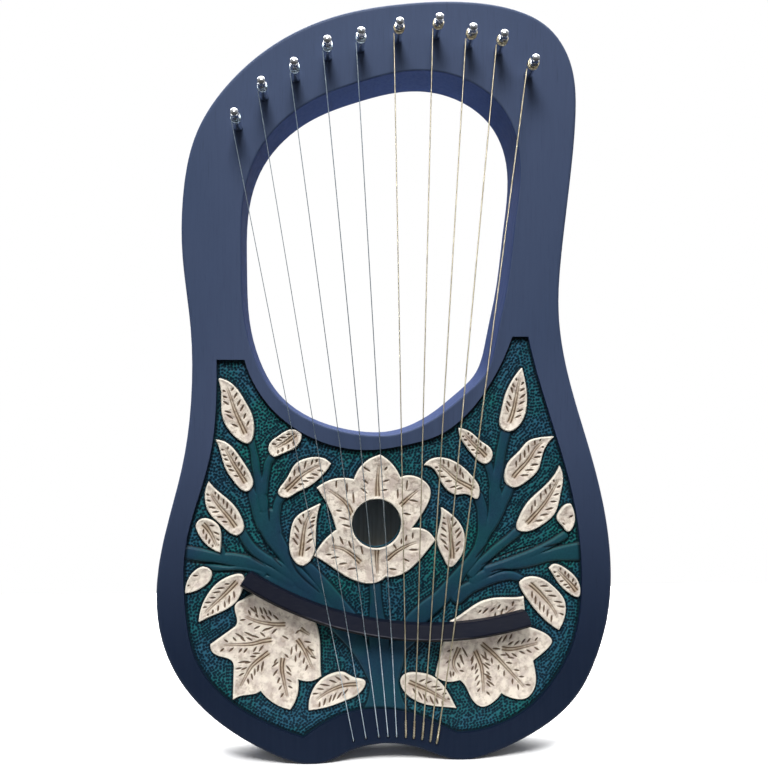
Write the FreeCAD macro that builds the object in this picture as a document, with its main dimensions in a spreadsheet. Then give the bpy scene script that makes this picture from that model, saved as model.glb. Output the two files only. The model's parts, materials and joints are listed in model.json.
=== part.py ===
import FreeCAD, Part
import math
import os

from FreeCAD import Placement, Rotation, Vector

# A ten-string lyre with a carved soundboard.
# Frame: millimetres, +X to the player's right as seen from the front, +Z up, front face towards -Y.
# The origin is under the middle of the whole instrument, on the surface that its two feet stand on.

doc = FreeCAD.newDocument("lyre")

# ---------------------------------------------------------------- driving dimensions

sheet = doc.addObject("Spreadsheet::Sheet", "Sizes")

SIZES = {
    "body_depth": 36.0,          # wood from the front face to the back face
    "pin_reach": 21.5,           # how far a tuning pin stands out of the front face, along its axis
    "pin_lean": 7.0,             # degrees that the pins lean up, against the strings' pull
    "outer_round": 2.0,          # edge rounding round the outline
    "opening_round": 1.0,        # edge rounding round the opening
    "panel_drop": 2.5,           # front face down to the soundboard
    "rebate_lip": 3.0,           # how much wider the chamber is than the panel's window
    "board_thickness": 4.0,
    "back_thickness": 4.0,
    "brace_width": 6.0,
    "brace_height": 9.0,
    "brace_end_height": 3.0,
    "brace_taper": 36.0,         # length over which a brace thins towards each end
    "sound_hole_radius": 13.7,
    "flower_clearance": 0.3,
    "carving_thickness": 2.1,    # applied leaves and flower, from the soundboard up
    "pin_radius": 2.45,
    "pin_bore_radius": 2.5,
    "pin_shank": 24.0,           # length of pin inside the wood
    "pin_bore_depth": 25.0,
    "bore_overrun": 2.0,         # bores run this far past the front face, so that they open cleanly
    "pin_tip_chamfer": 0.6,
    "pin_dome": 1.6,
    "head_across_flats": 4.1,
    "head_length": 5.4,
    "wire_hole_radius": 0.55,
    "wire_hole_height": 15.2,    # along the pin, from the front face
    "coil_height": 11.6,         # where the string leaves the pin
    "coil_turns": 4.0,
    "string_hole_radius": 1.0,
    "ball_radius": 1.6,
    "ball_pocket_radius": 1.9,
    "ball_pocket_depth": 4.0,
    "string_clear_of_wood": 0.9, # centre line in front of the front face, where a string turns upwards
    "string_hole_bend": 0.8,     # bend radius where a string comes out of its hole
    "string_crest_bend": 8.0,    # bend radius over the bridge
    "bridge_radius": 194.0,      # centre line of the bridge, seen from the front
    "bridge_width": 9.5,
    "bridge_lift": 0.3,          # underside below the front face: it clears the leaves
    "bridge_crest": 8.2,         # crest above the front face
    "bridge_upper_side": 4.8,
    "bridge_lower_side": 6.0,
    "bridge_crest_offset": 2.7,  # crest lies this much below the centre line
    "bridge_edge_ease": 0.45,    # cut off each long front edge
    "bridge_foot_width": 7.0,
    "bridge_end_round": 2.4,
}

for row, (alias, value) in enumerate(SIZES.items(), start=1):
    sheet.set(f"A{row}", alias)
    sheet.set(f"B{row}", str(value))
    sheet.setAlias(f"B{row}", alias)
doc.recompute()


def size(alias):
    """A driving dimension, read back from the sheet."""
    return float(sheet.get(alias))


LEAN = math.radians(size("pin_lean"))
PIN_AXIS = Vector(0, -math.cos(LEAN), math.sin(LEAN))
FRONT_Y = (size("pin_reach") * math.cos(LEAN) - size("body_depth")) / 2
BACK_Y = FRONT_Y + size("body_depth")
BOARD_FRONT_Y = FRONT_Y + size("panel_drop")
BOARD_BACK_Y = BOARD_FRONT_Y + size("board_thickness")
BACK_PLATE_Y = BACK_Y - size("back_thickness")

# ---------------------------------------------------------------- outlines, as (x, z) seen from the front

# One closed curve. It dips a little below zero at its two bottom lobes, which are then cut flat as feet.
OUTLINE = [
    (-8, 9.7), (6, 9.7), (18, 7), (30, 2.4), (44, -0.4), (58.5, 2.4), (73, 8.2), (91.5, 18.2),
    (109.8, 34.8), (121.6, 57.4), (128.4, 83), (129.8, 108), (126.6, 138.7), (117.2, 177.2),
    (104.4, 221.2), (99.2, 256), (101.3, 294), (106, 334), (109, 368.4), (105.3, 402.2),
    (92.3, 420.8), (70, 430.6), (42, 433.5), (8, 431.2), (-30.4, 422.9), (-62.3, 407.5),
    (-89.9, 383.2), (-107.3, 355.5), (-114.8, 320), (-115.2, 288), (-110.7, 247), (-110, 212),
    (-115.3, 168.3), (-125.4, 127.8), (-129.5, 97), (-126.6, 71.6), (-115.2, 46.4), (-90.6, 21.2),
    (-66.3, 6.6), (-54, 1.5), (-41, -0.4), (-30, 2.2), (-20, 6.9),
]
FOOT_CUT = [(-100, -2), (100, -2), (100, 0), (-100, 0)]

OPENING = [
    (-4, 185.4), (16, 189.6), (31, 198), (44, 208.5), (56.2, 221), (63.2, 244), (68.6, 270),
    (73.6, 309), (76.3, 338), (73.1, 359.2), (63.2, 376), (48, 387), (29, 392.6), (8, 392),
    (-16, 385.6), (-40, 376), (-60, 361.6), (-74, 342.6), (-80.9, 320), (-82.2, 284),
    (-80.3, 250), (-74, 227.4), (-62, 207.5), (-44, 194.4), (-24, 187.6),
]

# The panel's window in the front face: six edges that meet at its corners.
WINDOW = [
    [(-80.5, 228.3), (-96, 228.3)],
    [(-96, 228.3), (-96.2, 206), (-98.6, 180), (-104.6, 156), (-111.4, 133), (-114.3, 112),
     (-113.4, 88), (-107, 58.6), (-93, 40), (-72, 25.4), (-47.5, 15)],
    [(-47.5, 15), (-36, 22.6), (-22, 28.4), (-6, 30.3), (10, 28.2), (26, 22.2), (40, 15.4)],
    [(40, 15.4), (60, 18), (80, 27.6), (96, 44), (107, 64), (112, 90), (111.8, 118),
     (107.6, 148), (99.6, 178), (89.2, 211), (81.1, 241.9)],
    [(81.1, 241.9), (71.7, 241.9)],
    [(71.7, 241.9), (66, 228), (57, 212), (45, 197), (30.6, 186.2), (12, 180.4), (-8, 177.4),
     (-28, 179.2), (-46, 186), (-60, 195.6), (-71.4, 208.6), (-80.5, 228.3)],
]

SOUND_HOLE = (-6.1, 135.3)

# Simple leaves: one closed curve with a single sharp corner, at the first point.
LEAVES = {
    "leaf_left_1": [(-95.5, 218), (-88.5, 215.5), (-80, 204.5), (-75.5, 193.5), (-78, 181.5),
                    (-88.5, 188), (-93, 197), (-93.5, 208)],
    "leaf_left_2": [(-96.5, 183.5), (-89, 180.5), (-82.5, 172.5), (-77, 163.5), (-76, 157.5),
                    (-78.5, 154.5), (-86.5, 160), (-91, 167), (-94, 176.5)],
    "leaf_left_3": [(-100.5, 160), (-95.5, 154.5), (-88, 148), (-82.5, 140), (-81.5, 132),
                    (-83.5, 130), (-93.5, 135.5), (-101, 144), (-102.5, 153)],
    "leaf_left_4": [(-94, 120), (-102, 125), (-106.5, 131.5), (-107.5, 136), (-105, 138.8),
                    (-99.5, 138.5), (-94.5, 134), (-93.5, 128.5)],
    "leaf_left_5": [(-63.5, 173.5), (-67, 177), (-66.5, 181), (-61.5, 185.5), (-54, 189),
                    (-49, 187), (-50, 181), (-56.5, 176.5)],
    "leaf_left_6": [(-32, 169.5), (-36, 164), (-45, 156.5), (-52, 153), (-57.5, 150.5),
                    (-61.5, 152.5), (-57.5, 160.5), (-52, 169.5), (-44, 173), (-36, 172.5)],
    "leaf_left_7": [(-37.5, 147.5), (-40, 138), (-40.5, 129), (-41, 121), (-43.5, 115),
                    (-48.5, 112), (-54, 117), (-55, 129.5), (-52, 139), (-45.5, 143.5)],
    "leaf_left_8": [(-113.4, 97.5), (-108.5, 98.5), (-103.5, 101), (-99.5, 105), (-99, 109.5),
                    (-102, 112), (-107.5, 110.5), (-112, 105)],
    "leaf_left_9": [(-106, 81), (-99, 84.5), (-92, 87.5), (-85.5, 92), (-82, 98),
                    (-81.5, 107), (-91.5, 105.5), (-99, 99.5), (-104.5, 89.5)],
    "leaf_left_10": [(-44.5, 30.3), (-32, 32.5), (-23.5, 35.5), (-14, 41.5), (-12.5, 45.5),
                     (-19, 48), (-24.5, 51), (-31.5, 50.5), (-39, 46), (-43.5, 38.5)],
    "leaf_right_1": [(77.5, 224), (71.5, 216), (67.5, 207), (65.5, 198.5), (65.5, 189.5),
                     (70, 187.5), (75, 190), (78.5, 195), (80.5, 205.5), (79.5, 216)],
    "leaf_right_2": [(96.5, 184.5), (89, 184), (81, 181.5), (76, 176), (70, 170), (67.5, 163),
                     (68, 158.5), (71.5, 155.5), (80.5, 159), (87, 165.5), (89.5, 174), (92, 179.5)],
    "leaf_right_3": [(99.5, 167.5), (96.5, 162), (89.5, 154.5), (81, 146.5), (76, 138),
                     (75, 131), (80.5, 130), (89, 133.5), (96.5, 140), (100, 151), (101.5, 160.5)],
    "leaf_right_4": [(106.2, 145.5), (103, 145), (100, 142), (98, 137), (101, 133),
                     (104.5, 129.5), (107.5, 132.5), (108.4, 139)],
    "leaf_right_5": [(41, 189.5), (42, 184), (45.5, 178.5), (50.5, 172.5), (56.5, 169),
                     (60, 172), (59.5, 177.5), (54.5, 181.5), (48, 187)],
    "leaf_right_6": [(21, 168.5), (27.5, 165), (31, 158.5), (39.5, 151.5), (46, 151.5),
                     (51.5, 149), (53, 153), (49.5, 161), (43, 167.5), (34.5, 172), (27.5, 172.5)],
    "leaf_right_7": [(30.5, 144.5), (30, 134), (28.5, 125), (32.5, 114.5), (36, 110),
                     (39.5, 112.5), (43.5, 119), (44.5, 125.5), (43, 132.5), (37, 140)],
    "leaf_right_8": [(93.5, 108.5), (97.5, 102), (104.5, 94.5), (110.8, 92), (111.4, 98),
                     (109, 103), (102, 109), (96.5, 110.8)],
    "leaf_right_9": [(99, 73), (103, 83.5), (102.5, 89.5), (97.5, 96.5), (89.5, 102.5),
                     (80.5, 103.5), (76.5, 101.5), (79, 93.5), (84, 86.5), (91, 79)],
    "leaf_right_10": [(39.5, 29.5), (31, 30.5), (22, 32), (13.5, 36), (8.5, 41.5), (7.5, 46),
                      (9.5, 48.8), (17, 50), (24, 48.5), (31, 43.5), (35, 38)],
}

# Lobed carvings: sharp corners at the listed positions, curves between them.
LOBED = {
    "maple_leaf_left": (
        [(-82, 93), (-86, 89), (-85, 84), (-86, 78), (-99.5, 68.5), (-94.5, 62), (-88, 59.5),
         (-86.5, 55.5), (-87, 37), (-82, 39.5), (-74.5, 40.5), (-71.5, 42), (-65, 35.5), (-55, 31),
         (-52, 36), (-50.5, 48), (-42.5, 47), (-37.5, 49.5), (-38, 61.5), (-39, 74.5),
         (-43, 84), (-58, 93.5), (-72, 97)],
        (0, 3, 4, 7, 8, 11, 13, 15, 17, 20)),
    "maple_leaf_right": (
        [(36, 79), (31, 62.5), (27.5, 48), (31.5, 45.5), (41.5, 45.5), (45, 41.5), (48.5, 34.5),
         (54, 30), (61, 32.5), (65.5, 37.5), (71.5, 34.5), (80.5, 34.5), (85, 40.5), (85, 51),
         (84, 55.5), (93, 63), (95, 66.5), (91, 71), (80.5, 75), (79, 86), (78.5, 92.5),
         (75, 92), (64.5, 92), (53, 89.5), (45, 84.5)],
        (0, 2, 4, 9, 14, 18, 20)),
    "flower_rosette": (
        [(-4, 174.5), (-15, 168), (-19, 160.5), (-29.5, 161), (-40, 156), (-31.5, 140.5),
         (-29, 132), (-37.5, 124), (-41.5, 117.5), (-30, 110), (-18, 103), (-8, 101.5), (-1, 105),
         (8.5, 106.5), (18, 114), (27.5, 125.5), (22.5, 131), (14, 132.5), (19, 139.5), (24, 156),
         (18.5, 161), (7.5, 161.5), (2.5, 169.5)],
        (0, 2, 4, 6, 8, 12, 15, 17, 21)),
}

# Tuning pins, left to right: where each axis meets the front face.
PINS = [(-84, 358.6), (-69.6, 375.9), (-52, 386.6), (-34, 399), (-15.6, 404.1),
        (5.5, 409.9), (27.3, 412.9), (45.9, 407.9), (63.2, 404.8), (80.6, 391.8)]
# String holes in the bottom rim, and the strings' diameters.
STRING_HOLES = [(-19.2, 12.8), (-12.2, 14), (-4.9, 14.6), (0.3, 14.7), (5.2, 14.5),
                (10.4, 14.1), (14.9, 13.5), (19.7, 12.7), (24.3, 11.4), (28, 10.2)]
STRING_DIAMETERS = [0.4, 0.4, 0.45, 0.5, 0.5, 0.6, 0.65, 0.7, 0.75, 0.8]

# The bridge's centre line is a circle's arc, open upwards: its centre and its two ends, in degrees.
BRIDGE_CENTRE = (27.5, 268.2)
BRIDGE_ENDS = (-123.6, -74.2)
BRIDGE_FOOT_ENDS = (-108.0, -91.0)

# Braces: the node, its height, its two ends, and the face that it is glued to.
BRACES = {
    "soundboard_brace_upper": (163, -96, 96, "board"),
    "soundboard_brace_lower": (64, -98, 98, "board"),
    "back_brace": (112, -104, 104, "back"),
}

# ---------------------------------------------------------------- drawing helpers


def in_sketch(point):
    """A point of an outline, in the plane of a sketch."""
    return Vector(point[0], point[1], 0)


def line(points):
    return Part.LineSegment(in_sketch(points[0]), in_sketch(points[-1]))


def curve(points, closed=False):
    """A smooth curve through the points."""
    spline = Part.BSplineCurve()
    spline.interpolate(Points=[in_sketch(p) for p in points], PeriodicFlag=closed)
    return spline


def ring(points):
    """Straight sides from each point to the next, and back to the first."""
    return [line([points[i - 1], points[i]]) for i in range(len(points))]


def spans(edges):
    """Straight or smooth edges, each from its own list of points."""
    return [line(points) if len(points) == 2 else curve(points) for points in edges]


def cornered(points, corners):
    """A closed outline that is sharp at the corners and smooth between them."""
    stops = list(corners[1:]) + [len(points)]
    loop = points + [points[0]]
    return spans([loop[start:stop + 1] for start, stop in zip(corners, stops)])


def grown(edges, margin):
    """The same counterclockwise edges, with every point moved outwards: the outline is larger all round."""
    loop = [point for points in edges for point in points[:-1]]
    moved = []
    for before, point, after in zip([loop[-1]] + loop[:-1], loop, loop[1:] + [loop[0]]):
        into = Vector(point[0] - before[0], point[1] - before[1], 0).normalize()
        out = Vector(after[0] - point[0], after[1] - point[1], 0).normalize()
        bisector = into + out
        outward = Vector(bisector.y, -bisector.x, 0).normalize()
        reach = margin / max(bisector.Length / 2, 0.5)
        moved.append((point[0] + outward.x * reach, point[1] + outward.y * reach))
    moved.append(moved[0])
    result, start = [], 0
    for points in edges:
        stop = start + len(points) - 1
        result.append(moved[start:stop + 1])
        start = stop
    return result


def new_body(name):
    body = doc.addObject("PartDesign::Body", name)
    body.Label = name
    return body


def sketch_on(body, role, name, geometry, offset=0.0):
    """A sketch on one of the body's own origin planes, moved along that plane's normal."""
    sketch = body.newObject("Sketcher::SketchObject", name)
    plane = next(f for f in body.Origin.OriginFeatures if f.Role == role)
    sketch.AttachmentSupport = (plane, [""])
    sketch.MapMode = "FlatFace"
    sketch.AttachmentOffset = Placement(Vector(0, 0, offset), Rotation())
    for item in geometry:
        sketch.addGeometry(item, False)
    return sketch


def front_sketch(body, name, geometry, y):
    """A sketch seen from the front, at a given depth: the plane's normal points to -Y."""
    return sketch_on(body, "XZ_Plane", name, geometry, -y)


def pad(body, name, sketch, length):
    feature = body.newObject("PartDesign::Pad", name)
    feature.Profile = sketch
    feature.setExpression("Length", length)
    doc.recompute()


def pocket(body, name, sketch, length, towards_front=False):
    """A pocket that has to take material away."""
    before = body.Shape.Volume
    feature = body.newObject("PartDesign::Pocket", name)
    feature.Profile = sketch
    feature.Reversed = towards_front
    feature.setExpression("Length", length)
    doc.recompute()
    if body.Shape.Volume >= before:
        raise RuntimeError(f"{name} cuts nothing")


def circles(centres, radius):
    return [Part.Circle(in_sketch(c), Vector(0, 0, 1), radius) for c in centres]


def round_edges(body, name, chosen, alias):
    """A fillet on the edges of the body's tip that the test picks."""
    tip = body.Tip
    names = [f"Edge{i}" for i, edge in enumerate(tip.Shape.Edges, start=1) if chosen(edge)]
    feature = body.newObject("PartDesign::Fillet", name)
    feature.Base = (tip, names)
    feature.setExpression("Radius", f"Sizes.{alias}")
    doc.recompute()


def is_face_edge(edge):
    """An edge that lies in the front face or in the back face."""
    box = edge.BoundBox
    return any(abs(box.YMin - y) < 1e-4 and abs(box.YMax - y) < 1e-4 for y in (FRONT_Y, BACK_Y))


def is_opening_edge(edge):
    """The opening's whole curve, in the front face or in the back face: about as tall as its own points."""
    heights = [z for _, z in OPENING]
    tall = max(heights) - min(heights)
    return is_face_edge(edge) and abs(edge.BoundBox.ZLength - tall) < 0.05 * tall


parts = []

# ---------------------------------------------------------------- frame


def make_frame():
    """One ring of wood: yoke, arms, soundbox rim and the band under the opening."""
    body = new_body("frame_wood")
    blank = front_sketch(body, "frame_outline", [curve(OUTLINE, closed=True)], BACK_Y)
    pad(body, "frame_pad", blank, "Sizes.body_depth")
    round_edges(body, "frame_edge_round", is_face_edge, "outer_round")
    feet = front_sketch(body, "feet_sketch", ring(FOOT_CUT), FRONT_Y)
    pocket(body, "feet_cut", feet, "Sizes.body_depth")
    opening = front_sketch(body, "opening_sketch", [curve(OPENING, closed=True)], FRONT_Y)
    pocket(body, "opening_cut", opening, "Sizes.body_depth")
    round_edges(body, "opening_edge_round", is_opening_edge, "opening_round")
    window = front_sketch(body, "window_sketch", spans(WINDOW), FRONT_Y)
    pocket(body, "window_cut", window, "Sizes.panel_drop")
    chamber = front_sketch(body, "chamber_sketch", spans(grown(WINDOW, size("rebate_lip"))), BACK_Y)
    pocket(body, "chamber_cut", chamber, "Sizes.body_depth - Sizes.panel_drop", towards_front=True)
    holes = front_sketch(body, "string_holes", circles(STRING_HOLES, size("string_hole_radius")), FRONT_Y)
    pocket(body, "string_hole_cut", holes, "Sizes.body_depth")
    seats = front_sketch(body, "ball_seats", circles(STRING_HOLES, size("ball_pocket_radius")), BACK_Y)
    pocket(body, "ball_seat_cut", seats, "Sizes.ball_pocket_depth", towards_front=True)
    bores = doc.addObject("Part::MultiFuse", "pin_bores")
    bores.Shapes = [pin_bore(number, base) for number, base in enumerate(PINS, start=1)]
    frame = doc.addObject("Part::Cut", "frame")
    frame.Base = body
    frame.Tool = bores
    frame.Label = "frame"
    parts.append(frame)


def pin_placement(base):
    """A pin's own axis is +Z, with zero at the front face."""
    return Placement(Vector(base[0], FRONT_Y, base[1]), Rotation(Vector(0, 0, 1), PIN_AXIS))


def pin_bore(number, base):
    """A blind bore along the pin's axis."""
    bore = doc.addObject("Part::Cylinder", f"pin_bore_{number}")
    bore.setExpression("Radius", "Sizes.pin_bore_radius")
    bore.setExpression("Height", "Sizes.pin_bore_depth + Sizes.bore_overrun")
    start = pin_placement(base)
    start.Base = start.Base - PIN_AXIS * size("pin_bore_depth")
    bore.Placement = start
    return bore


# ---------------------------------------------------------------- soundbox plates and braces


def make_soundboard():
    """The carved panel's blank: it sits behind the window's lip."""
    body = new_body("soundboard")
    outline = front_sketch(body, "board_outline", spans(grown(WINDOW, size("rebate_lip"))), BOARD_BACK_Y)
    pad(body, "board_pad", outline, "Sizes.board_thickness")
    hole = front_sketch(body, "sound_hole", circles([SOUND_HOLE], size("sound_hole_radius")), BOARD_FRONT_Y)
    pocket(body, "sound_hole_cut", hole, "Sizes.board_thickness")
    parts.append(body)


def make_back_plate():
    body = new_body("back_plate")
    outline = front_sketch(body, "plate_outline", spans(grown(WINDOW, size("rebate_lip"))), BACK_Y)
    pad(body, "plate_pad", outline, "Sizes.back_thickness")
    parts.append(body)


def make_brace(name, height, left, right, glued_to):
    """A bar across the grain, thinned towards both ends."""
    half = size("brace_width") / 2
    tall, low = size("brace_height"), size("brace_end_height")
    taper = size("brace_taper")
    surface, side = (BOARD_BACK_Y, 1) if glued_to == "board" else (BACK_PLATE_Y, -1)
    profile = [(left, 0), (right, 0), (right, low), (right - taper, tall), (left + taper, tall), (left, low)]
    corners = [(x, surface + side * depth) for x, depth in profile]
    body = new_body(name)
    sketch = sketch_on(body, "XY_Plane", f"{name}_side", ring(corners), height - half)
    pad(body, f"{name}_pad", sketch, "Sizes.brace_width")
    parts.append(body)


# ---------------------------------------------------------------- applied carvings


def make_carving(name, edges):
    body = new_body(name)
    outline = front_sketch(body, f"{name}_outline", edges, BOARD_FRONT_Y)
    pad(body, f"{name}_pad", outline, "Sizes.carving_thickness")
    parts.append(body)


def make_leaves():
    for name, points in LEAVES.items():
        make_carving(name, [curve(points + [points[0]])])


def make_lobed_carvings():
    hole = size("sound_hole_radius") + size("flower_clearance")
    for name, (points, corners) in LOBED.items():
        edges = cornered(points, corners)
        if name == "flower_rosette":
            edges += circles([SOUND_HOLE], hole)
        make_carving(name, edges)


# ---------------------------------------------------------------- bridge


def make_bridge():
    """An arched bar turned about the circle's axis, and a foot that reaches the soundboard."""
    radius = size("bridge_radius")
    half = size("bridge_width") / 2
    crest = radius + size("bridge_crest_offset")
    base = -size("bridge_lift")
    bar = eased([(radius - half, base), (radius + half, base), (radius + half, size("bridge_lower_side")),
                 (crest, size("bridge_crest")), (radius - half, size("bridge_upper_side"))],
                (2, 3, 4), size("bridge_edge_ease"))
    foot_half = size("bridge_foot_width") / 2
    foot = [(radius - foot_half, -size("panel_drop")), (radius + foot_half, -size("panel_drop")),
            (radius + foot_half, base), (radius - foot_half, base)]
    blank = make_arc_bar("bridge_bar", bar, BRIDGE_ENDS)
    round_edges(blank, "bridge_end_rounding", is_end_corner, "bridge_end_round")
    heel = make_arc_bar("bridge_heel", foot, BRIDGE_FOOT_ENDS)
    bridge = doc.addObject("Part::Fuse", "bridge")
    bridge.Base = blank
    bridge.Tool = heel
    bridge.Refine = True
    bridge.Label = "bridge"
    parts.append(bridge)


def make_arc_bar(name, section, ends):
    """The section, given as (radius, height above the front face), turned from one end to the other."""
    body = new_body(name)
    sketch = sketch_on(body, "XZ_Plane", f"{name}_section", ring(section))
    turned = body.newObject("PartDesign::Revolution", f"{name}_turned")
    turned.Profile = sketch
    turned.ReferenceAxis = (sketch, ["V_Axis"])
    turned.Angle = ends[1] - ends[0]
    start = math.radians(ends[0])
    outwards = Vector(math.cos(start), 0, math.sin(start))
    onwards = Vector(-math.sin(start), 0, math.cos(start))
    turn = Rotation(outwards, onwards, Vector(0, -1, 0), "ZXY")
    body.Placement = Placement(Vector(BRIDGE_CENTRE[0], FRONT_Y, BRIDGE_CENTRE[1]), turn)
    doc.recompute()
    return body


def is_end_corner(edge):
    """An upright edge of the bar, in the bar's own frame: both at the right end, the upper at the left."""
    box = edge.BoundBox
    if box.ZLength < 2 or box.XLength > 0.1 or box.YLength > 0.1:
        return False
    angle = math.degrees(math.atan2(box.Center.y, box.Center.x))
    radius = math.hypot(box.Center.x, box.Center.y)
    return angle > 1 or radius < size("bridge_radius")


def eased(points, corners, cut):
    """The closed outline, with the listed corners cut off by that much along both of their sides."""
    result = []
    for index, point in enumerate(points):
        if index not in corners:
            result.append(point)
            continue
        here = in_sketch(point)
        for other in (points[index - 1], points[(index + 1) % len(points)]):
            aside = here + (in_sketch(other) - here).normalize() * cut
            result.append((aside.x, aside.y))
    return result


# ---------------------------------------------------------------- tuning pins and strings


def make_pin(number, base):
    """A zither pin: round shank, cross hole for the wire, square head with a domed end."""
    radius = size("pin_radius")
    reach = size("pin_reach")
    shank = -size("pin_shank")
    chamfer = size("pin_tip_chamfer")
    dome = size("pin_dome")
    shoulder = reach - dome
    dome_radius = (radius ** 2 + dome ** 2) / (2 * dome)
    mid_angle = math.asin(radius / dome_radius) / 2
    across = size("head_across_flats") / 2
    mid_dome = (dome_radius * math.sin(mid_angle), reach - dome_radius * (1 - math.cos(mid_angle)))
    profile = [
        line([(0, reach), (0, shank)]),
        line([(0, shank), (radius - chamfer, shank)]),
        line([(radius - chamfer, shank), (radius, shank + chamfer)]),
        line([(radius, shank + chamfer), (radius, shoulder)]),
        Part.Arc(in_sketch((radius, shoulder)), in_sketch(mid_dome), in_sketch((0, reach))),
    ]
    name = f"tuning_pin_{number}"
    body = new_body(name)
    outline = sketch_on(body, "XZ_Plane", f"{name}_profile", profile)
    turned = body.newObject("PartDesign::Revolution", f"{name}_turned")
    turned.Profile = outline
    turned.ReferenceAxis = (outline, ["V_Axis"])
    turned.Angle = 360
    doc.recompute()
    outside = 2 * radius         # well clear of the pin's side
    square = [(-1, -1), (1, -1), (1, 1), (-1, 1)]
    flats = []
    for reach_out in (across, outside):
        flats += ring([(x * reach_out, y * reach_out) for x, y in square])
    head = sketch_on(body, "XY_Plane", f"{name}_flats", flats, reach)
    pocket(body, f"{name}_head", head, "Sizes.head_length")
    eye = sketch_on(body, "XZ_Plane", f"{name}_eye",
                    circles([(0, size("wire_hole_height"))], size("wire_hole_radius")), outside)
    pocket(body, f"{name}_wire_hole", eye, f"{2 * outside}")
    body.Placement = pin_placement(base)
    parts.append(body)


def make_coil(number, base, diameter):
    """The wound turns, as the sleeve that they fill."""
    inner = size("pin_radius")
    low = size("coil_height") - diameter / 2
    high = low + size("coil_turns") * diameter
    section = [(inner, low), (inner + diameter, low), (inner + diameter, high), (inner, high)]
    name = f"string_coil_{number}"
    body = new_body(name)
    sketch = sketch_on(body, "XZ_Plane", f"{name}_section", ring(section))
    turned = body.newObject("PartDesign::Revolution", f"{name}_turned")
    turned.Profile = sketch
    turned.ReferenceAxis = (sketch, ["V_Axis"])
    turned.Angle = 360
    body.Placement = pin_placement(base)
    parts.append(body)


def bridge_crossing(start, end):
    """Where the straight line from start to end passes over the bridge's crest, seen from the front."""
    centre = Vector(BRIDGE_CENTRE[0], BRIDGE_CENTRE[1], 0)
    radius = size("bridge_radius") + size("bridge_crest_offset")
    along = (in_sketch(end) - in_sketch(start)).normalize()
    offset = in_sketch(start) - centre
    middle = offset.dot(along)
    reach = -middle - math.sqrt(middle ** 2 - offset.Length ** 2 + radius ** 2)
    if reach < 0:
        reach = -middle + math.sqrt(middle ** 2 - offset.Length ** 2 + radius ** 2)
    crossing = in_sketch(start) + along * reach
    return crossing.x, crossing.y


def string_route(hole, pin, diameter):
    """From the ball, out of the hole, over the bridge's crest, to just short of the pin's turns."""
    rest_gap = 0.03
    coil_gap = 0.15
    out_y = FRONT_Y - size("string_clear_of_wood")
    centre = pin_placement(pin).Base + PIN_AXIS * size("coil_height")
    along = Vector(centre.x - hole[0], 0, centre.z - hole[1]).normalize()
    left = Vector(-along.z, 0, along.x)
    touch = size("pin_radius") + diameter / 2
    clear = size("pin_radius") + diameter + coil_gap
    short = math.sqrt(clear ** 2 - size("pin_radius") ** 2)
    end = centre + left * touch - along * short
    over = bridge_crossing(hole, (end.x, end.z))
    crest_y = FRONT_Y - size("bridge_crest") - diameter / 2 - rest_gap
    ball_y = BACK_Y - size("ball_pocket_depth") + size("ball_radius")
    return [Vector(hole[0], ball_y, hole[1]), Vector(hole[0], out_y, hole[1]),
            Vector(over[0], crest_y, over[1]), end]


def bent_wire(points, radii):
    """Straight runs joined by tangent arcs, one radius for each inner point."""
    edges, here = [], points[0]
    for before, corner, after, radius in zip(points, points[1:], points[2:], radii):
        back = (before - corner).normalize()
        ahead = (after - corner).normalize()
        half = back.getAngle(ahead) / 2
        reach = radius / math.tan(half)
        start = corner + back * reach
        stop = corner + ahead * reach
        inward = (back + ahead).normalize()
        middle = corner + inward * (radius / math.sin(half) - radius)
        edges.append(Part.LineSegment(here, start).toShape())
        edges.append(Part.Arc(start, middle, stop).toShape())
        here = stop
    edges.append(Part.LineSegment(here, points[-1]).toShape())
    return Part.Wire(edges)


def make_string(number, hole, pin, diameter):
    """One wire with its ball end: a round section swept along the bent route."""
    route = string_route(hole, pin, diameter)
    wire = bent_wire(route, (size("string_hole_bend"), size("string_crest_bend")))
    section = Part.Wire(Part.makeCircle(diameter / 2, route[0], Vector(0, -1, 0)))
    swept = wire.makePipeShell([section], True, True)
    ball = Part.makeSphere(size("ball_radius"), route[0])
    name = f"string_{number}"
    feature = doc.addObject("Part::Feature", name)
    feature.Shape = swept.fuse(ball).removeSplitter()
    feature.Label = name
    parts.append(feature)
    expected = wire.Length * math.pi * diameter ** 2 / 4
    print(f"{name}: {wire.Length:.1f} mm long, swept volume {swept.Volume:.2f} of {expected:.2f}")


# ---------------------------------------------------------------- build, check, write

make_frame()
make_soundboard()
make_back_plate()
for brace_name, brace in BRACES.items():
    make_brace(brace_name, *brace)
make_lobed_carvings()
make_leaves()
make_bridge()
courses = zip(PINS, STRING_HOLES, STRING_DIAMETERS)
for course, (pin_base, string_hole, gauge) in enumerate(courses, start=1):
    make_pin(course, pin_base)
    make_coil(course, pin_base, gauge)
    make_string(course, string_hole, pin_base, gauge)

doc.recompute()
for thing in doc.Objects:
    if "Invalid" in thing.State or "Error" in thing.State:
        raise RuntimeError(f"{thing.Name} failed: {thing.State}")
for part in parts:
    if part.Shape.isNull() or not part.Shape.isValid():
        raise RuntimeError(f"{part.Label} has no valid shape")

os.makedirs("parts", exist_ok=True)
for part in parts:
    part.Shape.exportStep(f"parts/{part.Label}.step")
print(f"{len(parts)} parts written")
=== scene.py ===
import json
import math

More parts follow.
